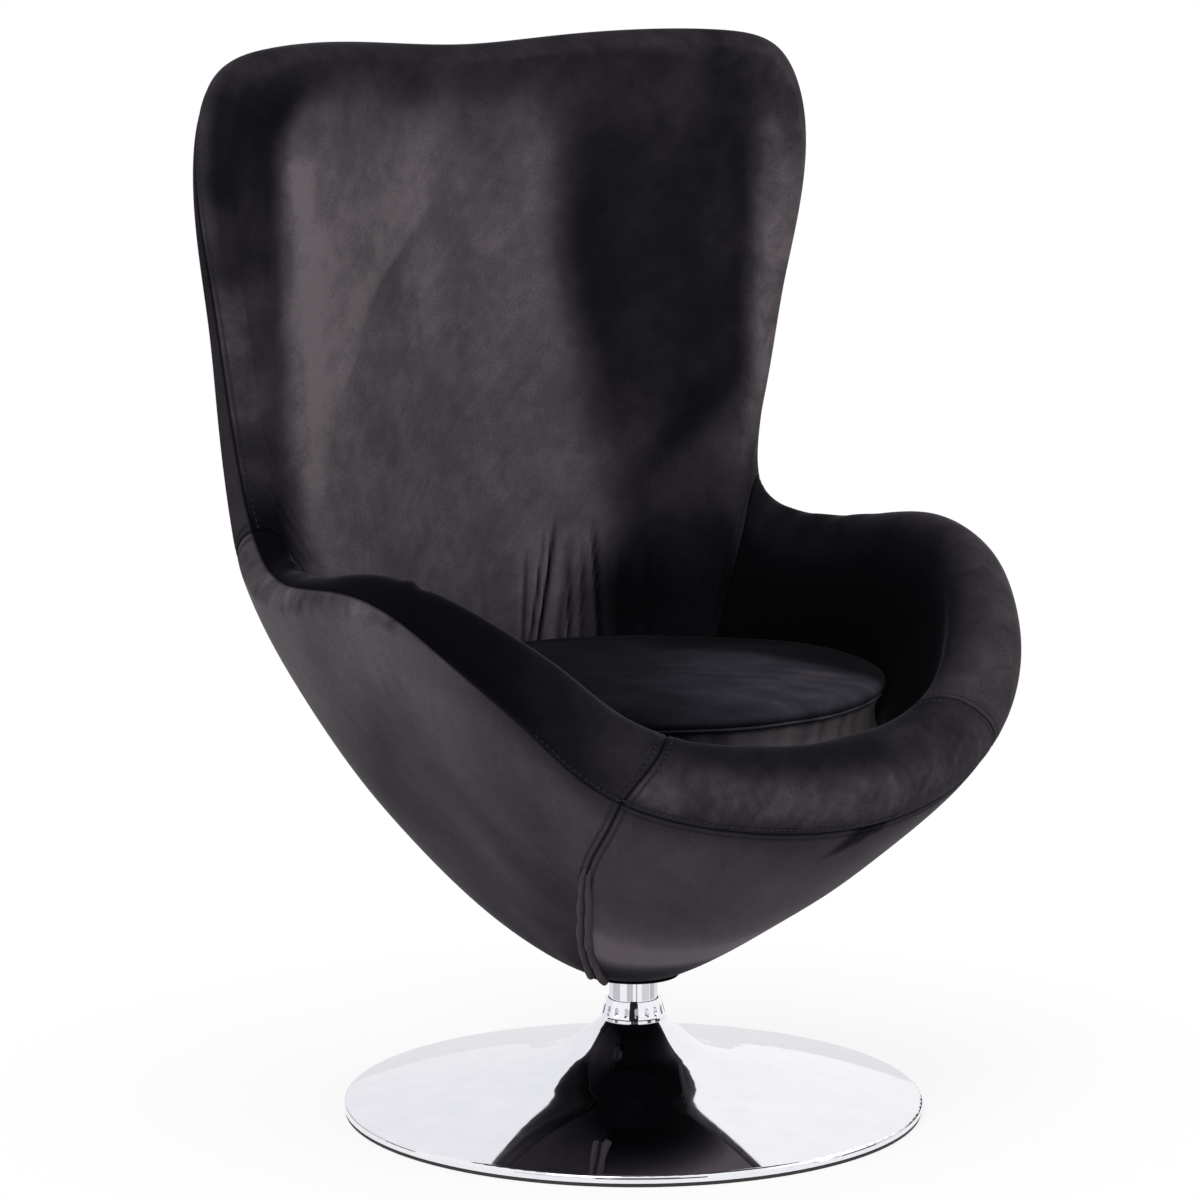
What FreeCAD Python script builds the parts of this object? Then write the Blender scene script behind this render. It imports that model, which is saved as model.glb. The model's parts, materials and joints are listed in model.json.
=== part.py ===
"""Swivel lounge chair: an upholstered egg-shaped shell with a loose seat cushion on a chromed trumpet base.

Millimetres. The column's axis is Z and the floor is Z = 0. The sitter faces -Y, with +X on the sitter's left.
"""
import FreeCAD, Part
import math
import os

from FreeCAD import Vector

UP = Vector(0, 0, 1)
ORIGIN = Vector(0, 0, 0)

# Chromed base and the ballast under it
BASE_RADIUS = 300.0
SHEET = 2.5                    # spun steel of the trumpet
FLOOR_PAD = 4.0                # thickness of the rubber pad between the base and the floor
PAD_INSET = 1.0                # how far the rubber pad stays inside the rim
RIM_HEIGHT = 12.0
RIM_ROUND = 4.0
NECK_RADIUS = 33.0
NECK_TOP = 95.5
FLARE = (
    # radius and height of the trumpet's upper surface between the neck and the rim
    (57.0, 75.6),
    (73.0, 63.3),
    (100.0, 51.3),
    (130.0, 43.0),
    (160.0, 37.3),
    (200.0, 30.3),
    (250.0, 21.0),
)
BALLAST_THICKNESS = 5.0
BALLAST_INSET = 6.0            # between the ballast plate and the trumpet's skirt
GUSSET_COUNT = 6
GUSSET_THICKNESS = 5.0
GUSSET_REACH = 90.0            # radius of a gusset's foot on the ballast plate
GUSSET_TOP = 58.0
GUSSET_TOE = 6.0               # height of a gusset's outer end
WELD = 1.0                     # how far a gusset runs into the hub's wall
HUB_RADIUS = 24.0
HUB_TOP = 102.0

# Swivel column
SPINDLE_RADIUS = 15.0
SPINDLE_FOOT = 2.0             # spindle's end over the floor pad's top
SPINDLE_CHAMFER = 1.5
GROOVE_DEPTH = 1.0
PIVOT_RADIUS = 12.0            # the part of the spindle that the bushes turn on
SPINDLE_TOP = 145.0
RUNNING_GAP = 0.05
WASHER_OUTER = 22.0
WASHER_THICKNESS = 2.5
TUBE_RADIUS = 25.0
TUBE_WALL = 2.2
TUBE_TOP = 151.0
BUSH_LENGTH = 11.0
BODY_GAP = 0.3                 # between pieces that turn past each other
CLIP_THICKNESS = 1.2
CLIP_WIDTH = 4.0
CLIP_MOUTH = 10.0
COLLAR_TOP = 116.0
COLLAR_BORE = 26.0
COLLAR_FIT = 0.1               # round the hub
COLLAR_LIP = 0.8               # how far the collar's foot stands past the neck
COLLAR_FOOT = 3.5
COLLAR_BEAD = 3.5              # height of the plain top
COLLAR_TAPER = (3.4, 4.2)      # how far the band's top and the collar's top are drawn in
COLLAR_SEAT = 2.0              # the collar's bore opens this far below the hub's top
POCKET_COUNT = 18
POCKET_WIDTH = 4.4
POCKET_HEIGHT = 10.0
POCKET_FLOOR = 28.6            # radius at which a pocket ends

# Seat mounting, bolted from inside the shell
PLATE_RADIUS = 50.0
PLATE_THICKNESS = 5.0
BACKING_RADIUS = 54.0
BACKING_THICKNESS = 4.0
BOLT_CIRCLE_RADIUS = 38.0
BOLT_COUNT = 4
BOLT_RADIUS = 4.0
BOLT_HEAD_FLATS = 13.0
BOLT_HEAD_HEIGHT = 5.3
BOLT_WASHER_RADIUS = 8.0
BOLT_WASHER_THICKNESS = 1.6
BOLT_START = 45.0              # heading of the first bolt
TAPPED_FIT = 0.02
WASHER_FIT = 0.3
HOLE_FIT = 0.5
PLATE_BORE = 10.0
CAP_RADIUS = 47.0
CAP_FLANGE = 3.0
CAP_SLEEVE = 3.0
CAP_DISH = 3.0                 # how much lower the cap's middle is than its edge
CAP_FIT = 0.4
CAP_FLAT = 4.0
TUBE_ENTRY = 3.0               # the tube's lower end over the hub's top
UPPER_BUSH_DROP = 28.0         # the upper bush's foot below the tube's top

# Seat body, by depth under its velvet surface
COVER = 3.0                    # velvet on its wadding
LAYER_GAP = 0.5                # between one layer of the upholstery and the next
SHELL_WALL = 7.0
PAD_BORE = 27.0                # hole in the flat pad at the bottom of the shell
FOOT_RADIUS = 44.0             # ring to which the outer cover is gathered
FOOT_HEIGHT = 144.0
FOOT_RISE = 0.16               # slope of the bowl as it leaves that ring
DECK_RADIUS = 244.0            # round seat well
DECK_SHIFT = -12.0
DECK_HEIGHT = 384.0
FRONT_SEAM = 0.115             # places of the cover's seams along the rim
SIDE_SEAM = 0.54
FOAM_TUCK = 14.0               # least height of the foam's wall on the shell, below the shell's edge
BLOCK_BOTTOM = 180.0           # foam block in the bowl under the seat
BLOCK_GAP = 2.0                # between the block and the shell
BLOCK_LEVELS = 7
BLOCK_POINTS = 48

# Rim stations on the sitter's left, from the front lip over the arm and the wing to the top of the back:
# place    share of the way from the front centre (0) to the top centre (1)
# centre   middle of the padded roll, and roll, its radius
# heading  of the section's plane, counted from the front, and foot, that of its foot on the bottom ring
# lean     of the outer, then the inner skin where it meets the roll, in X and Y per unit of height
# pull     length over which the outer skin leaves its foot and the roll straight, and the inner skin its ends
STATIONS = (
    # place, centre, roll, heading, foot, lean out, lean in, pull
    (0.000, (0, -313, 385), 50, 0, 0, (0.00, -0.79), (0.00, -0.35), (28, 95, 6)),
    (0.115, (202, -271, 424), 44, 45, 70, (0.51, -0.60), (0.05, -0.20), (50, 114, 16)),
    (0.200, (275, -226, 491), 40, 61, 79, (0.54, -0.41), (0.10, -0.12), (45, 118, 38)),
    (0.270, (322, -152, 543), 35, 75, 87, (0.44, -0.15), (0.20, -0.05), (61, 148, 58)),
    (0.360, (345, -36, 565), 32, 91, 98, (0.40, 0.01), (0.30, 0.00), (73, 155, 65)),
    (0.460, (334, 105, 548), 29, 109, 115, (0.36, 0.15), (0.40, 0.10), (81, 173, 75)),
    (0.540, (316, 207, 584), 25, 131, 131, (0.27, 0.17), (0.60, -0.10), (97, 216, 90)),
    (0.600, (331, 216, 688), 23, 143, 139, (0.29, 0.06), (0.78, -0.33), (141, 278, 110)),
    (0.680, (350, 211, 816), 22, 152, 145, (0.36, -0.02), (0.83, -0.44), (187, 353, 130)),
    (0.780, (368, 208, 990), 22, 162, 152, (0.34, -0.04), (0.60, -0.25), (231, 476, 200)),
    (0.820, (344, 216, 1051), 22, 166, 156, (0.26, 0.00), (0.45, -0.10), (258, 518, 240)),
    (0.860, (284, 229, 1071), 22, 169, 160, (0.16, 0.04), (0.25, 0.05), (274, 539, 260)),
    (0.930, (139, 282, 1070), 22, 174, 169, (0.06, 0.05), (0.08, 0.10), (284, 549, 260)),
    (1.000, (0, 296, 1062), 22, 180, 180, (0.00, 0.05), (0.00, 0.12), (290, 550, 260)),
)
HALF_TURN = 180.0
QUARTER_TURN = 90.0
ONE_ROUND = 2.0                # the places of a whole round of the rim
RIM_OVERRUN = 4                # mirrored stations past each end
FRONT_SECTIONS = 9             # sections that a panel is lofted through
SIDE_SECTIONS = 16
BACK_SECTIONS = 41

# Loose seat cushion
CUSHION_RADIUS = 240.0
CUSHION_SHIFT = -20.0
CUSHION_WAIST = 6.0            # how far the sides are drawn in between the seams
CUSHION_BOTTOM = 384.6
CUSHION_EDGE = 398.0           # height of the lower seam
CUSHION_SEAM = 446.0           # height of the piped upper seam
CUSHION_CROWN = 466.0
CUSHION_CLOTH = 2.5
PIPING_RADIUS = 3.5
DECK_CLOTH = 1.2
ZIP_HALF_ANGLE = 32.0
ZIP_HEIGHT = 16.0
ZIP_TAPE = 1.2
SLIDER_WIDTH = 9.0
SLIDER_THICKNESS = 4.0
SLIDER_LENGTH = 13.0
SLIDER_LIFT = 0.45             # the slider's ends rest on the hollow tape, its middle stands off by this
SLIDER_TURN = 24.0             # from the middle of the zip
CROWN_SHOULDER = (0.72, 0.22)  # pole of the top panel: share of the radius, and of the crown's height left
CROWN_FLAT = 0.3               # share of the radius over which the crown is flat
UNDERSIDE_FLAT = 0.9
CORE_GAP = 0.5                 # between the core and its cloth

SKIN_POINTS = 7                # points through which an inset profile is drawn


def compass(degrees):
    """Level unit vector at a heading counted from the front towards the sitter's left."""
    angle = math.radians(degrees)
    return Vector(math.sin(angle), -math.cos(angle), 0)


def unit(vector):
    return vector / vector.Length


def line(start, end):
    return Part.LineSegment(start, end).toShape()


def arc(start, middle, end):
    return Part.Arc(start, middle, end).toShape()


def bezier(*poles):
    curve = Part.BezierCurve()
    curve.setPoles(list(poles))
    return curve


def smooth(points, closed=False):
    curve = Part.BSplineCurve()
    curve.interpolate(Points=points, PeriodicFlag=closed)
    return curve


def inset(curve, depth, normal):
    """The curve moved sideways in its plane, to the side of its tangent crossed with the plane's normal."""
    points = []
    start, end = curve.FirstParameter, curve.LastParameter
    for step in range(SKIN_POINTS):
        point, tangent = curve.getD1(start + (end - start) * step / (SKIN_POINTS - 1))
        points.append(point + unit(tangent).cross(normal) * depth)
    return smooth(points)


def height_parameter(curve, height):
    """Where a rising curve reaches a height, by halving."""
    low, high = curve.FirstParameter, curve.LastParameter
    for _ in range(40):
        middle = (low + high) / 2
        if curve.value(middle).z < height:
            low = middle
        else:
            high = middle
    return (low + high) / 2


def revolved(edges):
    """Solid of revolution about the column from a closed profile in the XZ plane."""
    return Part.Face(Part.Wire(edges)).revolve(ORIGIN, UP, 360)


def profile(*points):
    """Closed polygon of (radius, height) corners in the XZ plane."""
    corners = [Vector(radius, 0, height) for radius, height in points]
    return [line(a, b) for a, b in zip(corners, corners[1:] + corners[:1])]


def ring(inner, outer, bottom, top):
    return revolved(profile((inner, bottom), (outer, bottom), (outer, top), (inner, top)))


def around(shape, count, start=0.0):
    """Copies of a shape at even steps round the column."""
    copies = []
    for index in range(count):
        copy = shape.copy()
        copy.rotate(ORIGIN, UP, start + 360 / count * index)
        copies.append(copy)
    return copies


class Rim:
    """The padded rim: smooth curves through the stations of one side, mirrored for the other.

    The curves run on past both ends through mirrored stations, so that they cross the middle plane smoothly.
    """

    def __init__(self):
        before = [self.row(station, -1, 0) for station in STATIONS[RIM_OVERRUN:0:-1]]
        after = [self.row(station, -1, 1) for station in STATIONS[-2:-2 - RIM_OVERRUN:-1]]
        rows = before + [self.row(station, 1, 0) for station in STATIONS] + after
        places = [row[0] for row in rows]
        self.curves = []
        for column in range(1, len(rows[0])):
            curve = Part.BSplineCurve()
            curve.interpolate(Points=[row[column] for row in rows], Parameters=places)
            self.curves.append(curve)

    @staticmethod
    def row(station, side, end):
        """A station's place and vectors. Side -1 mirrors it past an end of the half round.

        Headings are kept as their lead over an even turn.
        """
        place, centre, roll, heading, foot, lean_out, lean_in, pull = station
        even = HALF_TURN * place
        return (
            place if side > 0 else 2 * end - place,
            Vector(side * centre[0], centre[1], centre[2]),
            Vector(roll, side * (heading - even), side * (foot - even)),
            Vector(side * lean_out[0], lean_out[1], 1),
            Vector(side * lean_in[0], lean_in[1], 1),
            Vector(*pull),
        )

    def at(self, place):
        """The section at a place: 0 to 1 on the sitter's left, 1 to 2 or below 0 on the right."""
        place = (place + 1) % ONE_ROUND - 1
        side = -1 if place < 0 else 1
        centre, roll, lean_out, lean_in, pull = (curve.value(abs(place)) for curve in self.curves)
        even = HALF_TURN * abs(place)
        return Section(
            Vector(side * centre.x, centre.y, centre.z),
            roll.x,
            compass(side * (even + roll.y)),
            compass(side * (even + roll.z)),
            Vector(side * lean_out.x, lean_out.y, 1),
            Vector(side * lean_in.x, lean_in.y, 1),
            pull,
        )


class Section:
    """One flat cut through the seat body, from the bottom ring over the rim and down to the seat well.

    Its skin runs up the outside, round the roll and down the inside. A layer at a depth is that path
    moved inwards.
    """

    def __init__(self, centre, roll, out, foot_way, lean_out, lean_in, pull):
        self.centre = centre
        self.roll = roll
        self.out = out
        foot = foot_way * FOOT_RADIUS + UP * FOOT_HEIGHT
        self.normal = unit((centre - foot).cross(self.out))
        self.foot = foot
        self.rise = self.flat(UP)
        self.rise_out = self.flat(lean_out)
        self.rise_in = self.flat(lean_in)
        foot_pull, rim_pull, inner_pull = pull
        rim_outer = self.roll_point(0, 0)
        rim_inner = self.roll_point(0, 2)
        well = self.well_point()
        self.outside = bezier(
            foot,
            foot + self.flat(foot_way + UP * FOOT_RISE) * foot_pull,
            rim_outer - self.rise_out * rim_pull,
            rim_outer,
        )
        self.inside = bezier(
            rim_inner,
            rim_inner - self.rise_in * inner_pull,
            well + self.rise * inner_pull,
            well,
        )

    def flat(self, vector):
        """Unit vector of the part of a vector that lies in the section's plane."""
        return unit(vector - self.normal * vector.dot(self.normal))

    def roll_point(self, depth, quarter):
        """On the roll at a depth: 0 where the outer skin meets it, 1 at its crest, 2 at the inner skin."""
        ways = (
            self.normal.cross(self.rise_out),
            unit(self.rise_out + self.rise_in),
            -self.normal.cross(self.rise_in),
        )
        return self.centre + ways[quarter] * (self.roll - depth)

    def well_point(self):
        """Where the plane meets the rim of the round seat well, on the section's own side."""
        middle = Vector(0, DECK_SHIFT, DECK_HEIGHT)
        across = self.normal.x * DECK_RADIUS
        along = -self.normal.y * DECK_RADIUS
        offset = (self.foot - middle).dot(self.normal)
        base = math.atan2(across, along)
        spread = math.acos(offset / math.hypot(across, along))
        points = [middle + compass(math.degrees(base + side * spread)) * DECK_RADIUS for side in (1, -1)]
        return max(points, key=lambda point: (point - middle).dot(self.out))

    def outer(self, depth):
        return inset(self.outside, depth, self.normal)

    def inner(self, depth):
        return inset(self.inside, depth, self.normal)

    def roll_edges(self, depth):
        """The roll from the outer skin over the crest to the inner skin, as two arcs."""
        start, crest, end = (self.roll_point(depth, quarter) for quarter in range(3))
        first = unit((start - self.centre) + (crest - self.centre)) * (self.roll - depth)
        second = unit((crest - self.centre) + (end - self.centre)) * (self.roll - depth)
        return [arc(start, self.centre + first, crest), arc(crest, self.centre + second, end)]

    def level_point(self, height, inwards):
        """In the plane at a height, measured inwards from above the foot."""
        return self.foot + self.rise * ((height - self.foot.z) / self.rise.z) - self.out * inwards

    def outer_cover(self):
        skin = self.outside
        lining = self.outer(COVER)
        return Part.Wire([
            skin.toShape(),
            line(skin.EndPoint, lining.EndPoint),
            lining.toShape(),
            line(lining.StartPoint, skin.StartPoint),
        ])

    def inner_cover(self):
        skin = self.inside
        lining = self.inner(COVER)
        edges = self.roll_edges(0) + [skin.toShape(), line(skin.EndPoint, lining.EndPoint), lining.toShape()]
        edges += self.roll_edges(COVER)[::-1]
        edges.append(line(self.roll_point(COVER, 0), self.roll_point(0, 0)))
        return Part.Wire(edges)

    def shell(self):
        """Moulded shell: a flat pad round the column, then the bowl's wall up to the foam of the roll."""
        face = self.outer(COVER + LAYER_GAP)
        back = self.outer(COVER + LAYER_GAP + SHELL_WALL)
        pad_inwards = FOOT_RADIUS - PAD_BORE
        corners = []
        walls = []
        for curve, height in ((face, PAD_BOTTOM), (back, PAD_TOP)):
            start = height_parameter(curve, height)
            end = curve.LastParameter - LAYER_GAP / curve.getD1(curve.LastParameter)[1].Length
            walls.append(curve.toShape(start, end))
            corners.append((self.level_point(height, pad_inwards), curve.value(start), curve.value(end)))
        (low_in, low_out, face_top), (high_in, high_out, back_top) = corners
        return Part.Wire([
            line(low_in, low_out),
            walls[0],
            line(face_top, back_top),
            walls[1],
            line(high_out, high_in),
            line(high_in, low_in),
        ])

    def foam(self):
        """Foam between the shell and the inner cover, closed over the shell's edge by the roll."""
        skin_depth = COVER + LAYER_GAP
        shell_depth = skin_depth + SHELL_WALL + LAYER_GAP
        face = self.inner(skin_depth)
        back = self.outer(shell_depth)
        start = height_parameter(back, min(DECK_HEIGHT, back.EndPoint.z - FOAM_TUCK))
        edges = [
            line(face.EndPoint, back.value(start)),
            back.toShape(start, back.LastParameter),
            line(back.EndPoint, self.roll_point(skin_depth, 0)),
        ]
        return Part.Wire(edges + self.roll_edges(skin_depth) + [face.toShape()])


BALLAST_TOP = FLOOR_PAD + BALLAST_THICKNESS
PAD_BOTTOM = TUBE_TOP + PLATE_THICKNESS
PAD_TOP = PAD_BOTTOM + SHELL_WALL
BACKING_TOP = PAD_TOP + BACKING_THICKNESS
RIM = Rim()


def span(start, end, count):
    """Sections at even places along a stretch of the rim."""
    return [RIM.at(start + (end - start) * index / (count - 1)) for index in range(count)]


FRONT_SPAN = span(-FRONT_SEAM, FRONT_SEAM, FRONT_SECTIONS)
LEFT_SPAN = span(FRONT_SEAM, SIDE_SEAM, SIDE_SECTIONS)
BACK_SPAN = span(SIDE_SEAM, ONE_ROUND - SIDE_SEAM, BACK_SECTIONS)
RIGHT_SPAN = span(ONE_ROUND - SIDE_SEAM, ONE_ROUND - FRONT_SEAM, SIDE_SECTIONS)


def loft(wires, closed=False):
    return Part.makeLoft(wires, True, False, closed)


def outer_cover(sections):
    return loft([section.outer_cover() for section in sections])


def inner_cover(sections):
    return loft([section.inner_cover() for section in sections])


def foam(sections):
    return loft([section.foam() for section in sections])


def shell():
    """The whole bowl in one closed loft, drilled for the mounting bolts."""
    sections = FRONT_SPAN[:-1] + LEFT_SPAN[:-1] + BACK_SPAN[:-1] + RIGHT_SPAN[:-1]
    bowl = loft([section.shell() for section in sections], closed=True)
    return bowl.cut(Part.makeCompound(bolt_holes(BOLT_RADIUS + HOLE_FIT)))


def seat_foam():
    """Foam block in the bowl under the seat: level outlines inside the shell, no wider than the seat well."""
    depth = COVER + LAYER_GAP + SHELL_WALL + BLOCK_GAP
    sections = [RIM.at(ONE_ROUND * index / BLOCK_POINTS) for index in range(BLOCK_POINTS)]
    walls = [section.outer(depth) for section in sections]
    top = DECK_HEIGHT - DECK_CLOTH
    wires = []
    for level in range(BLOCK_LEVELS):
        height = BLOCK_BOTTOM + (top - BLOCK_BOTTOM) * level / (BLOCK_LEVELS - 1)
        points = []
        for wall in walls:
            point = wall.value(height_parameter(wall, height))
            points.append(Vector(point.x, point.y, height))
        wires.append(Part.Wire([smooth(points, closed=True).toShape()]))
    well = Part.makeCylinder(DECK_RADIUS, top, Vector(0, DECK_SHIFT, 0))
    return loft(wires).common(well)


def deck_cloth():
    """Cloth over the foam block, under the foot of the inner covers that are sewn to it."""
    foot = Vector(0, DECK_SHIFT, DECK_HEIGHT - DECK_CLOTH)
    return Part.makeCylinder(DECK_RADIUS + COVER, DECK_CLOTH, foot)


def flare():
    """Upper surface of the trumpet from the neck to the rim, in the XZ plane."""
    neck = (NECK_RADIUS, NECK_TOP)
    rim = (BASE_RADIUS - RIM_ROUND, RIM_HEIGHT)
    return smooth([Vector(radius, 0, height) for radius, height in (neck, *FLARE, rim)])


def rim_round(edge, top, radius):
    """Quarter round from the flare's end down to the rim's upright edge."""
    diagonal = radius * (1 - math.sqrt(0.5))
    return arc(
        Vector(edge - radius, 0, top),
        Vector(edge - diagonal, 0, top - diagonal),
        Vector(edge, 0, top - radius),
    )


def base_disc():
    """Spun trumpet: neck, flare and a rounded rim with a short skirt, one sheet thick."""
    upper = flare()
    lower = inset(upper, SHEET, Vector(0, -1, 0))
    inner_edge = BASE_RADIUS - SHEET
    inner_round = RIM_ROUND - SHEET
    edge_top = Vector(BASE_RADIUS, 0, RIM_HEIGHT - RIM_ROUND)
    edge_foot = Vector(BASE_RADIUS, 0, FLOOR_PAD)
    inner_foot = Vector(inner_edge, 0, FLOOR_PAD)
    inner_top = Vector(inner_edge, 0, lower.EndPoint.z - inner_round)
    return revolved([
        upper.toShape(),
        rim_round(BASE_RADIUS, RIM_HEIGHT, RIM_ROUND),
        line(edge_top, edge_foot),
        line(edge_foot, inner_foot),
        line(inner_foot, inner_top),
        line(inner_top, lower.EndPoint),
        lower.toShape(),
        line(lower.StartPoint, upper.StartPoint),
    ])


def floor_pad():
    return Part.makeCylinder(BASE_RADIUS - PAD_INSET, FLOOR_PAD)


def ballast_plate():
    """Heavy steel disc under the trumpet, bored for the spindle's foot."""
    return ring(SPINDLE_RADIUS, BASE_RADIUS - SHEET - BALLAST_INSET, FLOOR_PAD, BALLAST_TOP)


def swivel_hub():
    """Thick tube that holds the spindle upright, welded to the ballast plate with a star of gussets."""
    inner = HUB_RADIUS - WELD
    gusset = Part.Face(Part.Wire(profile(
        (inner, BALLAST_TOP),
        (GUSSET_REACH, BALLAST_TOP),
        (GUSSET_REACH, BALLAST_TOP + GUSSET_TOE),
        (inner, GUSSET_TOP),
    ))).extrude(Vector(0, GUSSET_THICKNESS, 0))
    gusset.translate(Vector(0, -GUSSET_THICKNESS / 2, 0))
    tube = ring(SPINDLE_RADIUS, HUB_RADIUS, BALLAST_TOP, HUB_TOP)
    return tube.fuse(around(gusset, GUSSET_COUNT)).removeSplitter()


def neck_collar():
    """Chromed collar on the neck: a tapered band of rounded pockets under a narrow top bead."""
    band_bottom = NECK_TOP + COLLAR_FOOT
    band_top = COLLAR_TOP - COLLAR_BEAD
    foot_radius = NECK_RADIUS + COLLAR_LIP
    hub_bore = HUB_RADIUS + COLLAR_FIT
    body = revolved(profile(
        (hub_bore, NECK_TOP),
        (foot_radius, NECK_TOP),
        (foot_radius, band_bottom - COLLAR_LIP),
        (NECK_RADIUS, band_bottom),
        (NECK_RADIUS - COLLAR_TAPER[0], band_top),
        (NECK_RADIUS - COLLAR_TAPER[1], COLLAR_TOP),
        (COLLAR_BORE, COLLAR_TOP),
        (COLLAR_BORE, HUB_TOP - COLLAR_SEAT),
        (hub_bore, HUB_TOP - COLLAR_SEAT),
    ))
    half = POCKET_WIDTH / 2
    middle = (band_bottom + band_top) / 2
    reach = POCKET_HEIGHT / 2 - half
    low_left = Vector(POCKET_FLOOR, -half, middle - reach)
    low_right = Vector(POCKET_FLOOR, half, middle - reach)
    high_left = Vector(POCKET_FLOOR, -half, middle + reach)
    high_right = Vector(POCKET_FLOOR, half, middle + reach)
    outline = Part.Wire([
        arc(low_left, Vector(POCKET_FLOOR, 0, middle - reach - half), low_right),
        line(low_right, high_right),
        arc(high_right, Vector(POCKET_FLOOR, 0, middle + reach + half), high_left),
        line(high_left, low_left),
    ])
    pocket = Part.Face(outline).extrude(Vector(NECK_RADIUS, 0, 0))
    return body.cut(Part.makeCompound(around(pocket, POCKET_COUNT)))


THRUST_BOTTOM = HUB_TOP
THRUST_PAD = THRUST_BOTTOM + WASHER_THICKNESS
THRUST_TOP = THRUST_PAD + WASHER_THICKNESS + BODY_GAP
TUBE_BOTTOM = HUB_TOP + TUBE_ENTRY
LOWER_BUSH = THRUST_TOP + WASHER_THICKNESS
UPPER_BUSH = TUBE_TOP - UPPER_BUSH_DROP
STOP_WASHER = UPPER_BUSH + BUSH_LENGTH + BODY_GAP
CLIP_BOTTOM = STOP_WASHER + WASHER_THICKNESS


def swivel_spindle():
    """Stepped steel pin: held in the hub below, turned down above for the bushes, grooved for the clip."""
    groove = PIVOT_RADIUS - GROOVE_DEPTH
    clip_top = CLIP_BOTTOM + CLIP_THICKNESS
    foot = FLOOR_PAD + SPINDLE_FOOT
    return revolved(profile(
        (0, foot),
        (SPINDLE_RADIUS, foot),
        (SPINDLE_RADIUS, THRUST_BOTTOM),
        (PIVOT_RADIUS, THRUST_BOTTOM),
        (PIVOT_RADIUS, CLIP_BOTTOM),
        (groove, CLIP_BOTTOM),
        (groove, clip_top),
        (PIVOT_RADIUS, clip_top),
        (PIVOT_RADIUS, SPINDLE_TOP - SPINDLE_CHAMFER),
        (PIVOT_RADIUS - SPINDLE_CHAMFER, SPINDLE_TOP),
        (0, SPINDLE_TOP),
    ))


def thrust_washer(bottom):
    return ring(PIVOT_RADIUS + 2 * RUNNING_GAP, WASHER_OUTER, bottom, bottom + WASHER_THICKNESS)


def bush(bottom):
    return ring(PIVOT_RADIUS + RUNNING_GAP, TUBE_RADIUS - TUBE_WALL, bottom, bottom + BUSH_LENGTH)


def retaining_clip():
    """Open spring ring in the spindle's groove."""
    inner = PIVOT_RADIUS - GROOVE_DEPTH
    whole = ring(inner, inner + CLIP_WIDTH, CLIP_BOTTOM, CLIP_BOTTOM + CLIP_THICKNESS)
    mouth = Part.makeBox(TUBE_RADIUS, CLIP_MOUTH, CLIP_THICKNESS, Vector(0, -CLIP_MOUTH / 2, CLIP_BOTTOM))
    return whole.cut(mouth)


def post_tube():
    return ring(TUBE_RADIUS - TUBE_WALL, TUBE_RADIUS, TUBE_BOTTOM, TUBE_TOP)


def bolt_holes(radius):
    """Cylinders through the mounting plate, the shell's pad and the backing plate."""
    length = PLATE_THICKNESS + SHELL_WALL + BACKING_THICKNESS
    hole = Part.makeCylinder(radius, length, Vector(BOLT_CIRCLE_RADIUS, 0, TUBE_TOP))
    return around(hole, BOLT_COUNT, BOLT_START)


def drilled_disc(inner, outer, bottom, top, hole_radius):
    return ring(inner, outer, bottom, top).cut(Part.makeCompound(bolt_holes(hole_radius)))


def mount_plate():
    return drilled_disc(PLATE_BORE, PLATE_RADIUS, TUBE_TOP, PAD_BOTTOM, BOLT_RADIUS + TAPPED_FIT)


def backing_plate():
    return drilled_disc(PAD_BORE, BACKING_RADIUS, PAD_TOP, BACKING_TOP, BOLT_RADIUS + HOLE_FIT)


def mount_bolts():
    """Hexagon bolts, heads up, through the backing plate and the shell's pad into the mounting plate."""
    seat = BACKING_TOP + BOLT_WASHER_THICKNESS
    corner = BOLT_HEAD_FLATS / 2 / math.cos(math.radians(30))
    corners = [compass(60 * index) * corner for index in range(6)]
    wire = Part.Wire([line(a, b) for a, b in zip(corners, corners[1:] + corners[:1])])
    bolt = Part.Face(wire).extrude(UP * BOLT_HEAD_HEIGHT)
    bolt.translate(UP * seat)
    shank = Part.makeCylinder(BOLT_RADIUS, seat - TUBE_TOP, UP * TUBE_TOP)
    bolt = bolt.fuse(shank)
    bolt.translate(Vector(BOLT_CIRCLE_RADIUS, 0, 0))
    return Part.makeCompound(around(bolt, BOLT_COUNT, BOLT_START))


def mount_washers():
    top = BACKING_TOP + BOLT_WASHER_THICKNESS
    washer = ring(BOLT_RADIUS + WASHER_FIT, BOLT_WASHER_RADIUS, BACKING_TOP, top)
    washer.translate(Vector(BOLT_CIRCLE_RADIUS, 0, 0))
    return Part.makeCompound(around(washer, BOLT_COUNT, BOLT_START))


def bottom_cap():
    """Moulded ring round the tube, under the gathered cover: a dished flange on a sleeve up to the plate."""
    bore = TUBE_RADIUS + CAP_FIT
    sleeve = bore + CAP_SLEEVE
    flange_bottom = FOOT_HEIGHT - CAP_FLANGE
    return revolved(profile(
        (bore, flange_bottom - CAP_DISH),
        (sleeve + CAP_FLAT, flange_bottom - CAP_DISH),
        (CAP_RADIUS, flange_bottom),
        (CAP_RADIUS, FOOT_HEIGHT),
        (sleeve, FOOT_HEIGHT),
        (sleeve, TUBE_TOP),
        (bore, TUBE_TOP),
    ))


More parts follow.
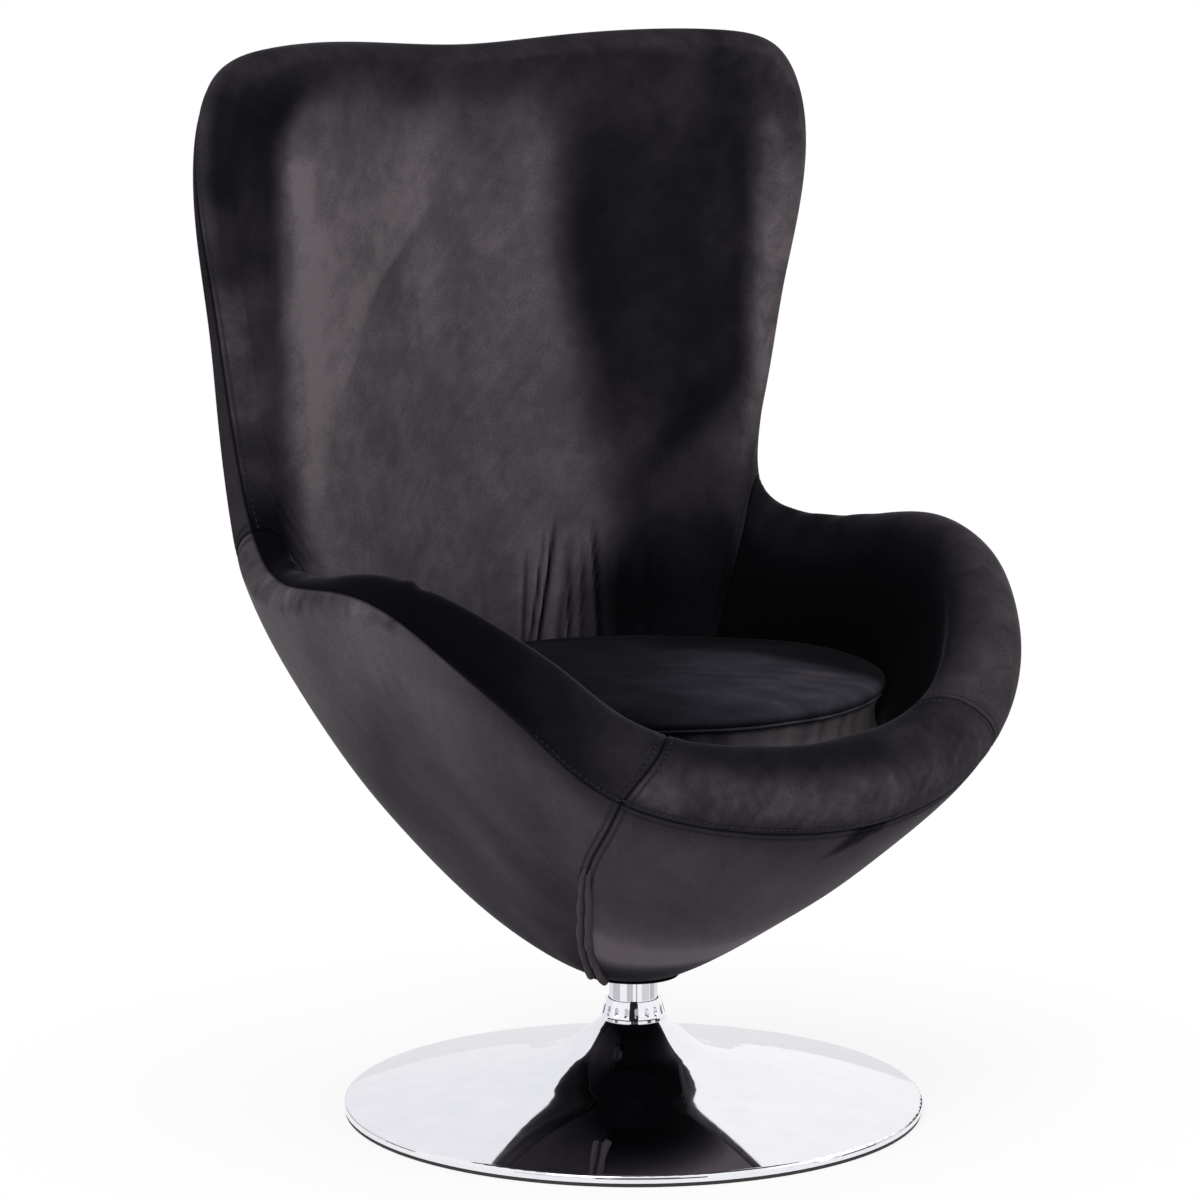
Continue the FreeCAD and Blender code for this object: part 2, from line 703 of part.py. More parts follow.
class Cushion:
    """Round box cushion by depth under its cloth: crowned top, drawn-in side and flatter underside."""

    @staticmethod
    def point(radius, height):
        return Vector(radius, 0, height)

    def top(self, depth):
        edge = CUSHION_RADIUS - depth
        seam = CUSHION_SEAM - depth
        crown = CUSHION_CROWN - depth
        out, drop = CROWN_SHOULDER
        shoulder = self.point(edge * out, crown - (crown - seam) * drop)
        flat = self.point(edge * CROWN_FLAT, crown)
        return bezier(self.point(edge, seam), shoulder, flat, self.point(0, crown))

    def side(self, depth):
        edge = CUSHION_RADIUS - depth
        middle = (CUSHION_EDGE + CUSHION_SEAM) / 2
        return arc(
            self.point(edge, CUSHION_EDGE + depth),
            self.point(edge - CUSHION_WAIST, middle),
            self.point(edge, CUSHION_SEAM - depth),
        )

    def underside(self, depth):
        edge = CUSHION_RADIUS - depth
        bottom = CUSHION_BOTTOM + depth
        turn = self.point(edge * UNDERSIDE_FLAT, bottom)
        return bezier(self.point(0, bottom), turn, self.point(edge, CUSHION_EDGE + depth))

    def placed(self, edges):
        solid = revolved(edges)
        solid.translate(Vector(0, CUSHION_SHIFT, 0))
        return solid


CUSHION = Cushion()


def cushion_core():
    depth = CUSHION_CLOTH + CORE_GAP
    top = CUSHION.top(depth)
    underside = CUSHION.underside(depth)
    return CUSHION.placed([
        underside.toShape(),
        CUSHION.side(depth),
        top.toShape(),
        line(top.EndPoint, underside.StartPoint),
    ])


def cushion_panel(make):
    """A cloth panel between its outer face and the same curve one cloth deeper."""
    face = make(0)
    back = make(CUSHION_CLOTH)
    return CUSHION.placed([
        face.toShape(),
        line(face.EndPoint, back.EndPoint),
        back.toShape(),
        line(back.StartPoint, face.StartPoint),
    ])


def cushion_boxing():
    face = CUSHION.side(0)
    back = CUSHION.side(CUSHION_CLOTH)
    return CUSHION.placed([
        face,
        line(face.Vertexes[1].Point, back.Vertexes[1].Point),
        back,
        line(back.Vertexes[0].Point, face.Vertexes[0].Point),
    ])


def cushion_piping():
    """Corded welt standing on the upper seam."""
    centre = Vector(0, CUSHION_SHIFT, CUSHION_SEAM)
    return Part.makeTorus(CUSHION_RADIUS + PIPING_RADIUS, PIPING_RADIUS, centre, UP)


def zip_face(depth):
    """Upright arc of the zip tape, concentric with the drawn-in boxing that carries it."""
    half_side = (CUSHION_SEAM - CUSHION_EDGE) / 2
    radius = (half_side ** 2 + CUSHION_WAIST ** 2) / (2 * CUSHION_WAIST)
    middle = (CUSHION_EDGE + CUSHION_SEAM) / 2
    centre = CUSHION_RADIUS - CUSHION_WAIST + radius
    swing = math.asin(ZIP_HEIGHT / 2 / radius)
    points = []
    for angle in (-swing, 0, swing):
        reach = radius - depth
        points.append(Vector(centre - reach * math.cos(angle), 0, middle + reach * math.sin(angle)))
    return arc(*points)


def cushion_zip():
    """Zip tape along the back of the boxing."""
    face = zip_face(ZIP_TAPE)
    back = zip_face(0)
    tape = Part.Face(Part.Wire([
        face,
        line(face.Vertexes[1].Point, back.Vertexes[1].Point),
        back,
        line(back.Vertexes[0].Point, face.Vertexes[0].Point),
    ])).revolve(ORIGIN, UP, 2 * ZIP_HALF_ANGLE)
    tape.rotate(ORIGIN, UP, QUARTER_TURN - ZIP_HALF_ANGLE)
    tape.translate(Vector(0, CUSHION_SHIFT, 0))
    return tape


def zip_slider():
    """Slider of the zip, with its pull folded down over the tape."""
    middle = (CUSHION_EDGE + CUSHION_SEAM) / 2
    start = CUSHION_RADIUS - CUSHION_WAIST + ZIP_TAPE + SLIDER_LIFT
    corner = Vector(start, -SLIDER_WIDTH / 2, middle - SLIDER_LENGTH / 2)
    slider = Part.makeBox(SLIDER_THICKNESS, SLIDER_WIDTH, SLIDER_LENGTH, corner)
    slider = slider.makeFillet(SLIDER_THICKNESS / 4, slider.Edges)
    slider.rotate(ORIGIN, UP, QUARTER_TURN + SLIDER_TURN)
    slider.translate(Vector(0, CUSHION_SHIFT, 0))
    return slider


NODES = {
    "base_disc": base_disc,
    "floor_pad": floor_pad,
    "ballast_plate": ballast_plate,
    "swivel_hub": swivel_hub,
    "neck_collar": neck_collar,
    "swivel_spindle": swivel_spindle,
    "thrust_washer_lower": lambda: thrust_washer(THRUST_BOTTOM),
    "thrust_washer_pad": lambda: thrust_washer(THRUST_PAD),
    "stop_washer": lambda: thrust_washer(STOP_WASHER),
    "retaining_clip": retaining_clip,
    "thrust_washer_upper": lambda: thrust_washer(THRUST_TOP),
    "post_tube": post_tube,
    "lower_bush": lambda: bush(LOWER_BUSH),
    "upper_bush": lambda: bush(UPPER_BUSH),
    "mount_plate": mount_plate,
    "backing_plate": backing_plate,
    "mount_bolts": mount_bolts,
    "mount_washers": mount_washers,
    "bottom_cap": bottom_cap,
    "shell": shell,
    "seat_foam": seat_foam,
    "deck_cloth": deck_cloth,
    "lip_foam": lambda: foam(FRONT_SPAN),
    "arm_foam_left": lambda: foam(LEFT_SPAN),
    "back_foam": lambda: foam(BACK_SPAN),
    "arm_foam_right": lambda: foam(RIGHT_SPAN),
    "front_cover": lambda: outer_cover(FRONT_SPAN),
    "side_cover_left": lambda: outer_cover(LEFT_SPAN),
    "back_cover": lambda: outer_cover(BACK_SPAN),
    "side_cover_right": lambda: outer_cover(RIGHT_SPAN),
    "lip_cover": lambda: inner_cover(FRONT_SPAN),
    "inner_arm_cover_left": lambda: inner_cover(LEFT_SPAN),
    "inner_back_cover": lambda: inner_cover(BACK_SPAN),
    "inner_arm_cover_right": lambda: inner_cover(RIGHT_SPAN),
    "cushion_core": cushion_core,
    "cushion_top": lambda: cushion_panel(CUSHION.top),
    "cushion_underside": lambda: cushion_panel(CUSHION.underside),
    "cushion_boxing": cushion_boxing,
    "cushion_piping": cushion_piping,
    "cushion_zip": cushion_zip,
    "zip_slider": zip_slider,
}

os.makedirs("parts", exist_ok=True)
for node, make in NODES.items():
    solid = make()
    if not solid.isValid() or solid.Volume <= 0:
        raise RuntimeError(node + " is not a sound solid")
    solid.exportStep("parts/" + node + ".step")
    print(node, len(solid.Solids), round(solid.Volume / 1000, 1), "cm3")
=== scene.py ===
"""Swivel lounge chair: velvet panels, seams and a loose cushion over the chair's frame, in a pale studio."""
import json
import math

import bmesh
import bpy
import numpy as np
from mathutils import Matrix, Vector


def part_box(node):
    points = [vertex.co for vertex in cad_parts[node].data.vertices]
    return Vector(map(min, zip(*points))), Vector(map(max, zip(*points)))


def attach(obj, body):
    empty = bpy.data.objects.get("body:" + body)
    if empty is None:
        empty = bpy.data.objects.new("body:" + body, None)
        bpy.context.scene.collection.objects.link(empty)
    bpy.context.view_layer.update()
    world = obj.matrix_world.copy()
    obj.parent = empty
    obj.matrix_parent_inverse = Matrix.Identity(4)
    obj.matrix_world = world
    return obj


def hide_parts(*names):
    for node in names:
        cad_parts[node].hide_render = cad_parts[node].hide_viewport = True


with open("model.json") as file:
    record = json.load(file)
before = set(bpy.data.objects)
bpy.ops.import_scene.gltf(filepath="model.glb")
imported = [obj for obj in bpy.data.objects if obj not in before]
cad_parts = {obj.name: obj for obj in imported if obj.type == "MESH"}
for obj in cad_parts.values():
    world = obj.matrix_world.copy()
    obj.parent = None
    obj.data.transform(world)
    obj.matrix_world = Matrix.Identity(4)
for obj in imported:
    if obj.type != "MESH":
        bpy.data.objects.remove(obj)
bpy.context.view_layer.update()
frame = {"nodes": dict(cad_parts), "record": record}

NODES = frame["nodes"]

# Seat body, in metres
FOOT_RADIUS = 0.044            # bottom ring that the outer cover is gathered to
FOOT_HEIGHT = 0.144
FOOT_RISE = 0.16               # slope of the bowl as it leaves that ring
DECK_RADIUS = 0.244            # round seat well
DECK_SHIFT = -0.012
DECK_HEIGHT = 0.384
FRONT_SEAM = 0.115             # places of the cover's upright seams along the rim
SIDE_SEAM = 0.54
COVER = 0.0028                 # thickness of the velvet on its wadding

# Ways round a section of the seat body, from 0 at the bottom ring
OUTER_EDGE, INNER_EDGE, WELL = 1.0, 2.0, 3.0

# Rim stations on the sitter's left: place, middle of the roll, its radius, heading of the section's plane and
# of its foot in degrees, lean of the outer and of the inner skin at the roll, and the lengths over which the
# skins leave the foot, the roll and the seat well straight
STATIONS = (
    (0.000, (0.000, -0.313, 0.385), 0.050, 0, 0, (0.00, -0.79), (0.00, -0.35), (0.028, 0.095, 0.006)),
    (0.115, (0.202, -0.271, 0.424), 0.044, 45, 70, (0.51, -0.60), (0.05, -0.20), (0.050, 0.114, 0.016)),
    (0.200, (0.275, -0.226, 0.491), 0.040, 61, 79, (0.54, -0.41), (0.10, -0.12), (0.045, 0.118, 0.038)),
    (0.270, (0.322, -0.152, 0.543), 0.035, 75, 87, (0.44, -0.15), (0.20, -0.05), (0.061, 0.148, 0.058)),
    (0.360, (0.345, -0.036, 0.565), 0.032, 91, 98, (0.40, 0.01), (0.30, 0.00), (0.073, 0.155, 0.065)),
    (0.460, (0.334, 0.105, 0.548), 0.029, 109, 115, (0.36, 0.15), (0.40, 0.10), (0.081, 0.173, 0.075)),
    (0.540, (0.316, 0.207, 0.584), 0.025, 131, 131, (0.27, 0.17), (0.60, -0.10), (0.097, 0.216, 0.090)),
    (0.600, (0.331, 0.216, 0.688), 0.023, 143, 139, (0.29, 0.06), (0.78, -0.33), (0.141, 0.278, 0.110)),
    (0.680, (0.350, 0.211, 0.816), 0.022, 152, 145, (0.36, -0.02), (0.83, -0.44), (0.187, 0.353, 0.130)),
    (0.780, (0.368, 0.208, 0.990), 0.022, 162, 152, (0.34, -0.04), (0.60, -0.25), (0.231, 0.476, 0.200)),
    (0.820, (0.344, 0.216, 1.051), 0.022, 166, 156, (0.26, 0.00), (0.45, -0.10), (0.258, 0.518, 0.240)),
    (0.860, (0.284, 0.229, 1.071), 0.022, 169, 160, (0.16, 0.04), (0.25, 0.05), (0.274, 0.539, 0.260)),
    (0.930, (0.139, 0.282, 1.070), 0.022, 174, 169, (0.06, 0.05), (0.08, 0.10), (0.284, 0.549, 0.260)),
    (1.000, (0.000, 0.296, 1.062), 0.022, 180, 180, (0.00, 0.05), (0.00, 0.12), (0.290, 0.550, 0.260)),
)
RIM_OVERRUN = 4                # mirrored stations past each end of the half round
MIRROR = np.array((-1, 1, 1, 1, -1, -1, -1, 1, -1, 1, 1, 1, 1), float)


def station_row(station):
    """A station as one row of numbers, its headings as their lead over an even half turn."""
    place, centre, roll, heading, foot, lean_out, lean_in, pull = station
    even = 180.0 * place
    return (*centre, roll, heading - even, foot - even, *lean_out, *lean_in, *pull)


HALF_PLACES = np.array([station[0] for station in STATIONS])
HALF_ROWS = np.array([station_row(station) for station in STATIONS])
BEFORE = slice(RIM_OVERRUN, 0, -1)
AFTER = slice(-2, -2 - RIM_OVERRUN, -1)
RIM_PLACES = np.concatenate((-HALF_PLACES[BEFORE], HALF_PLACES, 2 - HALF_PLACES[AFTER]))
RIM_ROWS = np.concatenate((HALF_ROWS[BEFORE] * MIRROR, HALF_ROWS, HALF_ROWS[AFTER] * MIRROR))


def spline(knots, values, at):
    """Natural cubic curve through rows of values.

    Its bends at the knots solve the three-term system of equal slopes there.
    """
    step = np.diff(knots)
    inner = np.arange(1, len(knots) - 1)
    system = np.eye(len(knots))
    system[inner, inner - 1] = step[:-1]
    system[inner, inner] = 2 * (step[:-1] + step[1:])
    system[inner, inner + 1] = step[1:]
    right = np.zeros_like(values)
    right[1:-1] = 6 * np.diff(np.diff(values, axis=0) / step[:, None], axis=0)
    bend = np.linalg.solve(system, right)
    k = np.clip(np.searchsorted(knots, at) - 1, 0, len(step) - 1)
    width = step[k][..., None]
    left = (knots[k + 1] - at)[..., None] / width
    ahead = 1 - left
    curve = left * values[k] + ahead * values[k + 1]
    return curve + ((left ** 3 - left) * bend[k] + (ahead ** 3 - ahead) * bend[k + 1]) * width ** 2 / 6


def unit(vectors):
    """Vectors over their own lengths."""
    return vectors / np.linalg.norm(vectors, axis=-1, keepdims=True)


def compass(angle):
    """Level unit vectors at headings counted from the front towards the sitter's left."""
    return np.stack((np.sin(angle), -np.cos(angle), np.zeros_like(angle)), axis=-1)


def dot(a, b):
    """Inner products of vectors, which keep their last axis."""
    return np.sum(a * b, axis=-1, keepdims=True)


def bezier(poles, t):
    """Cubic curve: the four poles weighted by the terms of ((1 - t) + t) cubed."""
    weights = ((1 - t) ** 3, 3 * t * (1 - t) ** 2, 3 * t ** 2 * (1 - t), t ** 3)
    return sum(weight * pole for weight, pole in zip(weights, poles))


def folded(place):
    """Places as 0 to 1 on the sitter's left and 0 to -1 on the right."""
    return (place + 1) % 2 - 1


def seat_skin(place, way):
    """Points of the seat body's surface at places along the rim and ways round the flat section at each.

    Way 0 to 1 climbs the outside on a cubic curve from the bottom ring to the roll, 1 to 2 goes over the
    roll on a round arc, and 2 to 3 comes down the inside on a cubic curve to the seat well.
    """
    place = folded(place)
    row = spline(RIM_PLACES, RIM_ROWS, np.abs(place))
    row = np.where(place[..., None] < 0, row * MIRROR, row)
    centre, roll = row[..., :3], row[..., 3:4]
    foot_pull, rim_pull, inner_pull = np.split(row[..., 10:], 3, axis=-1)
    out = compass(np.radians(180 * place + row[..., 4]))
    foot_way = compass(np.radians(180 * place + row[..., 5]))
    up = np.array((0.0, 0.0, 1.0))
    foot = foot_way * FOOT_RADIUS + up * FOOT_HEIGHT
    normal = unit(np.cross(centre - foot, out))

    def flat(vector):
        """Unit vector along what a vector has in the plane of the section."""
        return unit(vector - normal * dot(vector, normal))

    level = np.ones_like(roll)
    rise_out = flat(np.concatenate((row[..., 6:8], level), axis=-1))
    rise_in = flat(np.concatenate((row[..., 8:10], level), axis=-1))
    side_out = np.cross(normal, rise_out)
    side_in = -np.cross(normal, rise_in)
    middle = np.array((0.0, DECK_SHIFT, DECK_HEIGHT))
    offset = dot(foot - middle, normal)[..., 0]
    base = np.arctan2(normal[..., 0], -normal[..., 1])
    spread = np.arccos(offset / (DECK_RADIUS * np.hypot(normal[..., 0], normal[..., 1])))
    ends = [middle + compass(base + turn * spread) * DECK_RADIUS for turn in (1, -1)]
    well = np.where(dot(ends[0] - ends[1], out) > 0, ends[0], ends[1])
    top_out = centre + side_out * roll
    top_in = centre + side_in * roll
    leaving = flat(foot_way + up * FOOT_RISE)
    outside = (foot, foot + leaving * foot_pull, top_out - rise_out * rim_pull, top_out)
    inside = (top_in, top_in - rise_in * inner_pull, well + flat(up) * inner_pull, well)
    sweep = np.arctan2(dot(side_in, rise_out), dot(side_in, side_out)) % (2 * math.pi)
    way = way[..., None]
    angle = sweep * np.clip(way - OUTER_EDGE, 0, 1)
    over = centre + roll * (np.cos(angle) * side_out + np.sin(angle) * rise_out)
    climb = bezier(outside, np.clip(way, 0, 1))
    fall = bezier(inside, np.clip(way - INNER_EDGE, 0, 1))
    return np.where(way <= OUTER_EDGE, climb, np.where(way < INNER_EDGE, over, fall))


def seat_frame(place, way):
    """Point and outward normal of the seat's surface, and the lengths of unit steps of place and way."""
    nudge = 1e-4
    along = (seat_skin(place + nudge, way) - seat_skin(place - nudge, way)) / (2 * nudge)
    across = (seat_skin(place, way + nudge) - seat_skin(place, way - nudge)) / (2 * nudge)
    lengths = np.linalg.norm(along, axis=-1), np.linalg.norm(across, axis=-1)
    return seat_skin(place, way), unit(np.cross(along, across)), *lengths


def grid_normals(points):
    """Outward unit normals of a grid from its own steps: along the rim crossed with round the section."""
    along, across = np.gradient(points, axis=(0, 1))
    return unit(np.cross(along, across))


def run_lengths(points, axis=0):
    """Length run along the lines of one axis, from their start, at every point."""
    steps = np.linalg.norm(np.diff(points, axis=axis), axis=-1)
    lengths = np.cumsum(steps, axis=axis)
    return np.concatenate((np.zeros_like(np.take(lengths, [0], axis=axis)), lengths), axis=axis)


def crowded(start, end, count):
    """Samples from start to end that draw together at both ends, by a cosine."""
    t = np.linspace(0, 1, count)
    return start + (end - start) * (1 - np.cos(math.pi * t)) / 2


def bump(distance, width):
    """Round hill of height 1: the bell curve of a distance over a width."""
    return np.exp(-(distance / width) ** 2)


def ease(value, start, end):
    """0 before start, 1 after end, with a smooth S between."""
    t = np.clip((value - start) / (end - start), 0, 1)
    return t * t * (3 - 2 * t)


def blend(first, second, share):
    """A share of the way from the first value to the second."""
    return first + (second - first) * share


def through(at, knots, values):
    """Smooth curve through a few values, held level past its ends."""
    knots, values = np.array(knots, float), np.array(values, float)
    return spline(knots, values[:, None], np.clip(at, knots[0], knots[-1]))[..., 0]


def waves(x, y, seed, finest, count=24):
    """Smooth random swell between about -1 and 1: plane waves of seeded directions and phases added up."""
    rng = np.random.default_rng(seed)
    heading = rng.uniform(0, 2 * math.pi, count)
    pitch = finest * rng.uniform(0.25, 1.0, count)
    phase = rng.uniform(0, 2 * math.pi, count)
    total = np.zeros(np.broadcast(x, y).shape)
    for angle, tight, start in zip(heading, pitch, phase):
        total += np.sin(2 * math.pi * tight * (x * math.cos(angle) + y * math.sin(angle)) + start)
    return total / math.sqrt(count)


def grid_faces(number, close_rows=False, close_columns=False):
    """Four-cornered faces over a grid of point numbers, joined end to end where it is closed."""
    if close_rows:
        number = np.concatenate((number, number[:1]))
    if close_columns:
        number = np.concatenate((number, number[:, :1]), axis=1)
    corners = (number[:-1, :-1], number[1:, :-1], number[1:, 1:], number[:-1, 1:])
    return np.stack(corners, axis=-1).reshape(-1, 4)


def full_turn(count):
    """Even angles of a whole turn."""
    return np.linspace(0, 2 * math.pi, count, endpoint=False)


def turned(radius, height, angle):
    """Points of a half section turned about Z: its radii and heights carried round at each angle."""
    shape = np.broadcast(radius, height, angle).shape
    return np.stack((radius * np.cos(angle), radius * np.sin(angle), np.broadcast_to(height, shape)), axis=-1)


def turned_pad(radius, height, turns, top, bottom):
    """Points and faces of a half section turned about Z and closed at two poles, and its point numbers."""
    rings = turned(radius, height, full_turn(turns)[:, None])
    number = np.arange(rings[..., 0].size).reshape(rings.shape[:2])
    lids = []
    for pole, ring in enumerate((number[:, 0], number[:, -1]), number.size):
        apex = np.full(turns // 2, pole)
        lids.append(np.stack((ring[::2], ring[1::2], np.roll(ring[::2], -1), apex), axis=-1))
    points = np.concatenate((rings.reshape(-1, 3), ((0, 0, top), (0, 0, bottom))))
    return points, np.concatenate((grid_faces(number, close_rows=True), *lids)), number


def tube_faces(number, lids):
    """Faces of a tube over a grid of point numbers: its wall, and lids over its first and last rings."""
    ends = number[[0, -1]][:, np.array(lids)].reshape(-1, 4)
    return np.concatenate((grid_faces(number, close_columns=True), ends))


def joined(shapes):
    """Points and faces of several shapes as those of one, with the faces counted on from shape to shape."""
    points, faces = zip(*shapes)
    first = np.cumsum([0, *map(len, points)])
    return np.concatenate(points), np.concatenate([quads + start for quads, start in zip(faces, first)])


def new_piece(name, points, faces, body, slot, finish, uv=None, sharp=50.0, **values):
    """Mesh object at the origin from whole arrays, smooth but for edges sharper than an angle.

    Values become attributes of its points, for the finish to read.
    """
    mesh = bpy.data.meshes.new(name)
    faces = np.asarray(faces)
    mesh.vertices.add(len(points))
    mesh.vertices.foreach_set("co", np.ascontiguousarray(points, dtype=np.float32).ravel())
    mesh.loops.add(faces.size)
    mesh.loops.foreach_set("vertex_index", faces.ravel().astype(np.int32))
    mesh.polygons.add(len(faces))
    mesh.polygons.foreach_set("loop_start", np.arange(0, faces.size, 4, dtype=np.int32))
    mesh.update(calc_edges=True)
    if uv is not None:
        layer = mesh.uv_layers.new(name="cloth")
        layer.data.foreach_set("uv", uv[faces.ravel()].astype(np.float32).ravel())
    for key, value in values.items():
        attribute = mesh.attributes.new(key, "FLOAT", "POINT")
        attribute.data.foreach_set("value", value.astype(np.float32).ravel())
    mesh.polygons.foreach_set("use_smooth", np.ones(len(faces), bool))
    work = bmesh.new()
    work.from_mesh(mesh)
    bmesh.ops.recalc_face_normals(work, faces=work.faces)
    work.to_mesh(mesh)
    work.free()
    mesh.set_sharp_from_angle(angle=math.radians(sharp))
    mesh.validate()
    mesh.materials.append(finish)
    piece = bpy.data.objects.new(name, mesh)
    bpy.context.scene.collection.objects.link(piece)
    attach(piece, body)
    return piece


def add(tree, kind, inputs=None, **settings):
    """A shader node with its settings, its sockets set to values or joined to other sockets."""
    node = tree.nodes.new(kind)
    for key, value in settings.items():
        setattr(node, key, value)
    for key, value in (inputs or {}).items():
        if isinstance(value, bpy.types.NodeSocket):
            tree.links.new(value, node.inputs[key])
        else:
            node.inputs[key].default_value = value
    return node


def new_finish(name):
    """An empty material with its surface shader, which every finish below fills in."""
    finish = bpy.data.materials.new(name)
    finish.use_nodes = True
    tree = finish.node_tree
    return finish, tree, tree.nodes["Principled BSDF"]


def set_sockets(shader, **values):
    """Set a shader's sockets by name, with underscores for spaces."""
    for key, value in values.items():
        shader.inputs[key.replace("_", " ")].default_value = value


def ramp(tree, source, stops):
    """Colour ramp through (position, grey or colour) stops."""
    node = add(tree, "ShaderNodeValToRGB", {"Fac": source})
    while len(node.color_ramp.elements) < len(stops):
        node.color_ramp.elements.new(0.5)
    for element, (position, colour) in zip(node.color_ramp.elements, stops):
        element.position = position
        element.color = (*colour, 1) if isinstance(colour, tuple) else (colour, colour, colour, 1)
    return node


def math_node(tree, operation, first, second):
    """Result of one step of arithmetic on sockets or numbers."""
    return add(tree, "ShaderNodeMath", {0: first, 1: second}, operation=operation).outputs[0]


def noise(tree, vector, scale, detail=2.0, rough=0.5, warp=0.0):
    """Value of a noise texture at a place."""
    settings = {"Vector": vector, "Scale": scale, "Detail": detail, "Roughness": rough, "Distortion": warp}
    return add(tree, "ShaderNodeTexNoise", settings).outputs["Fac"]


def attribute(tree, name):
    """Value of one of the mesh's own attributes."""
    return add(tree, "ShaderNodeAttribute", attribute_name=name).outputs["Fac"]


BRUSH_STRETCH = (60.0, 16.0, 1.0)  # scale of the streaks across and along the cloth
PATCH_SCALE, PILE_SCALE = 24.0, 520.0
STREAK_SWING, PILE_SWING = 0.18, 0.48


def velvet_finish(name, stops, sheen):
    """Black velvet: an attribute gives the pile's lie with painted light and shade, from flat black to
    bright.

    The tone is that attribute times one plus the swings of three noises: crushed patches as strong as
    the crush attribute, streaks of the brush along the cloth, and the speckle of the pile.
    """
    finish, tree, shader = new_finish(name)
    spot = add(tree, "ShaderNodeTexCoord")
    stretched = add(tree, "ShaderNodeMapping", {"Vector": spot.outputs["UV"], "Scale": BRUSH_STRETCH})
    patches = noise(tree, spot.outputs["Object"], PATCH_SCALE, 5.0, 0.62, 0.6)
    streaks = noise(tree, stretched.outputs["Vector"], 1.0, 3.0, 0.6, 0.3)
    pile = noise(tree, spot.outputs["Object"], PILE_SCALE, 2.0, 0.7)
    swing = 1.0
    crush = attribute(tree, "crush")
    for layer, amount in ((patches, crush), (streaks, STREAK_SWING), (pile, PILE_SWING)):
        push = math_node(tree, "MULTIPLY", math_node(tree, "SUBTRACT", layer, 0.5), amount)
        swing = math_node(tree, "ADD", push, swing)
    tone = math_node(tree, "MULTIPLY", attribute(tree, "nap_and_shading"), swing)
    colour = ramp(tree, tone, stops)
    tree.links.new(colour.outputs["Color"], shader.inputs["Base Color"])
    height = math_node(tree, "ADD", pile, math_node(tree, "MULTIPLY", streaks, 0.6))
    relief = add(tree, "ShaderNodeBump", {"Height": height, "Strength": 0.25, "Distance": 0.0007})
    tree.links.new(relief.outputs["Normal"], shader.inputs["Normal"])
    set_sockets(shader, Roughness=0.85, Specular_IOR_Level=0.02, Sheen_Weight=sheen, Sheen_Roughness=0.25)
    set_sockets(shader, Sheen_Tint=(0.90, 0.86, 0.94, 1))
    return finish


def thread_finish():
    """Black sewing thread with a dull twist."""
    finish, tree, shader = new_finish("black_thread")
    spot = add(tree, "ShaderNodeTexCoord")
    twist = noise(tree, spot.outputs["Object"], 900.0, 2.0)
    colour = ramp(tree, twist, ((0.3, (0.006, 0.0055, 0.007)), (0.7, (0.024, 0.022, 0.026))))
    tree.links.new(colour.outputs["Color"], shader.inputs["Base Color"])
    set_sockets(shader, Roughness=0.6, Specular_IOR_Level=0.2)
    return finish


VELVET = velvet_finish("black_velvet", (
    (0.00, (0.0004, 0.0004, 0.0006)),
    (0.12, (0.0024, 0.0023, 0.0032)),
    (0.25, (0.0078, 0.0071, 0.0096)),
    (0.50, (0.0262, 0.0225, 0.0277)),
    (0.75, (0.0590, 0.0508, 0.0570)),
    (1.00, (0.1060, 0.0915, 0.1000)),
), 0.10)
CUSHION_VELVET = velvet_finish("black_cushion_velvet", (
    (0.00, (0.0004, 0.0004, 0.0007)),
    (0.12, (0.0023, 0.0023, 0.0034)),
    (0.25, (0.0074, 0.0072, 0.0106)),
    (0.50, (0.0250, 0.0226, 0.0310)),
    (0.75, (0.0590, 0.0520, 0.0600)),
    (1.00, (0.1060, 0.0930, 0.1020)),
), 0.02)
THREAD = thread_finish()

# Seams of the seat covers
RIM_SEAM_PLACES = (0.0, 0.12, 0.20, 0.25, 0.30, 0.36, 0.46, 0.51, 0.55, 0.59, 0.65, 0.72, 0.80, 0.90, 1.0)
RIM_SEAM_WAYS = (1.0, 1.01, 1.03, 1.07, 1.18, 1.28, 1.40, 1.47, 1.48, 1.44, 1.36, 1.30, 1.17, 1.02, 1.0)
SEAM_DEPTH = 0.0019
SEAM_WIDTH = 0.0028
SEAM_SHADE = 0.66              # painted shade: the share of the tone taken off down in a seam
SEAM_LINE = 0.0017
DEEPEST = 0.0024               # of any fold under the plain surface
STITCH_ROW = 0.0068            # distance of a row of top stitching from its seam
STITCH_DENT = 0.0009
STITCH_WIDTH = 0.0015
FRONT_SEAM_WAYS = (0.0, 0.31, 0.46, 0.65, 0.83, 1.0, 1.2, 1.35, 1.6, 3.0)
FRONT_SEAM_PLACES = (0.185, 0.175, 0.156, 0.143, 0.125, FRONT_SEAM, 0.107, 0.101, 0.098, 0.098)
FRONT_SEAM_REACH = 0.3         # places over which a side panel follows its front seam
PROUD = 0.0017                 # how far the cover stands out over the thin padding of the wings


def rim_seam(place):
    """Way of the seam between outer and inner panels: a smooth curve through a few places of the rim."""
    return through(np.abs(folded(place)), RIM_SEAM_PLACES, RIM_SEAM_WAYS)


def front_seam(way):
    """Place of a front seam, which leans back down the outside: a smooth curve through a few ways."""
    return through(way, FRONT_SEAM_WAYS, FRONT_SEAM_PLACES)


def drawn(place, way):
    """Places of a panel's points: in proportion between the front seams, shifted less and less behind."""
    far = np.abs(place)
    shift = (front_seam(way) - FRONT_SEAM) * (1 - ease(far - FRONT_SEAM, 0, FRONT_SEAM_REACH))
    return np.where(far <= FRONT_SEAM, place * front_seam(way) / FRONT_SEAM, place + np.sign(place) * shift)


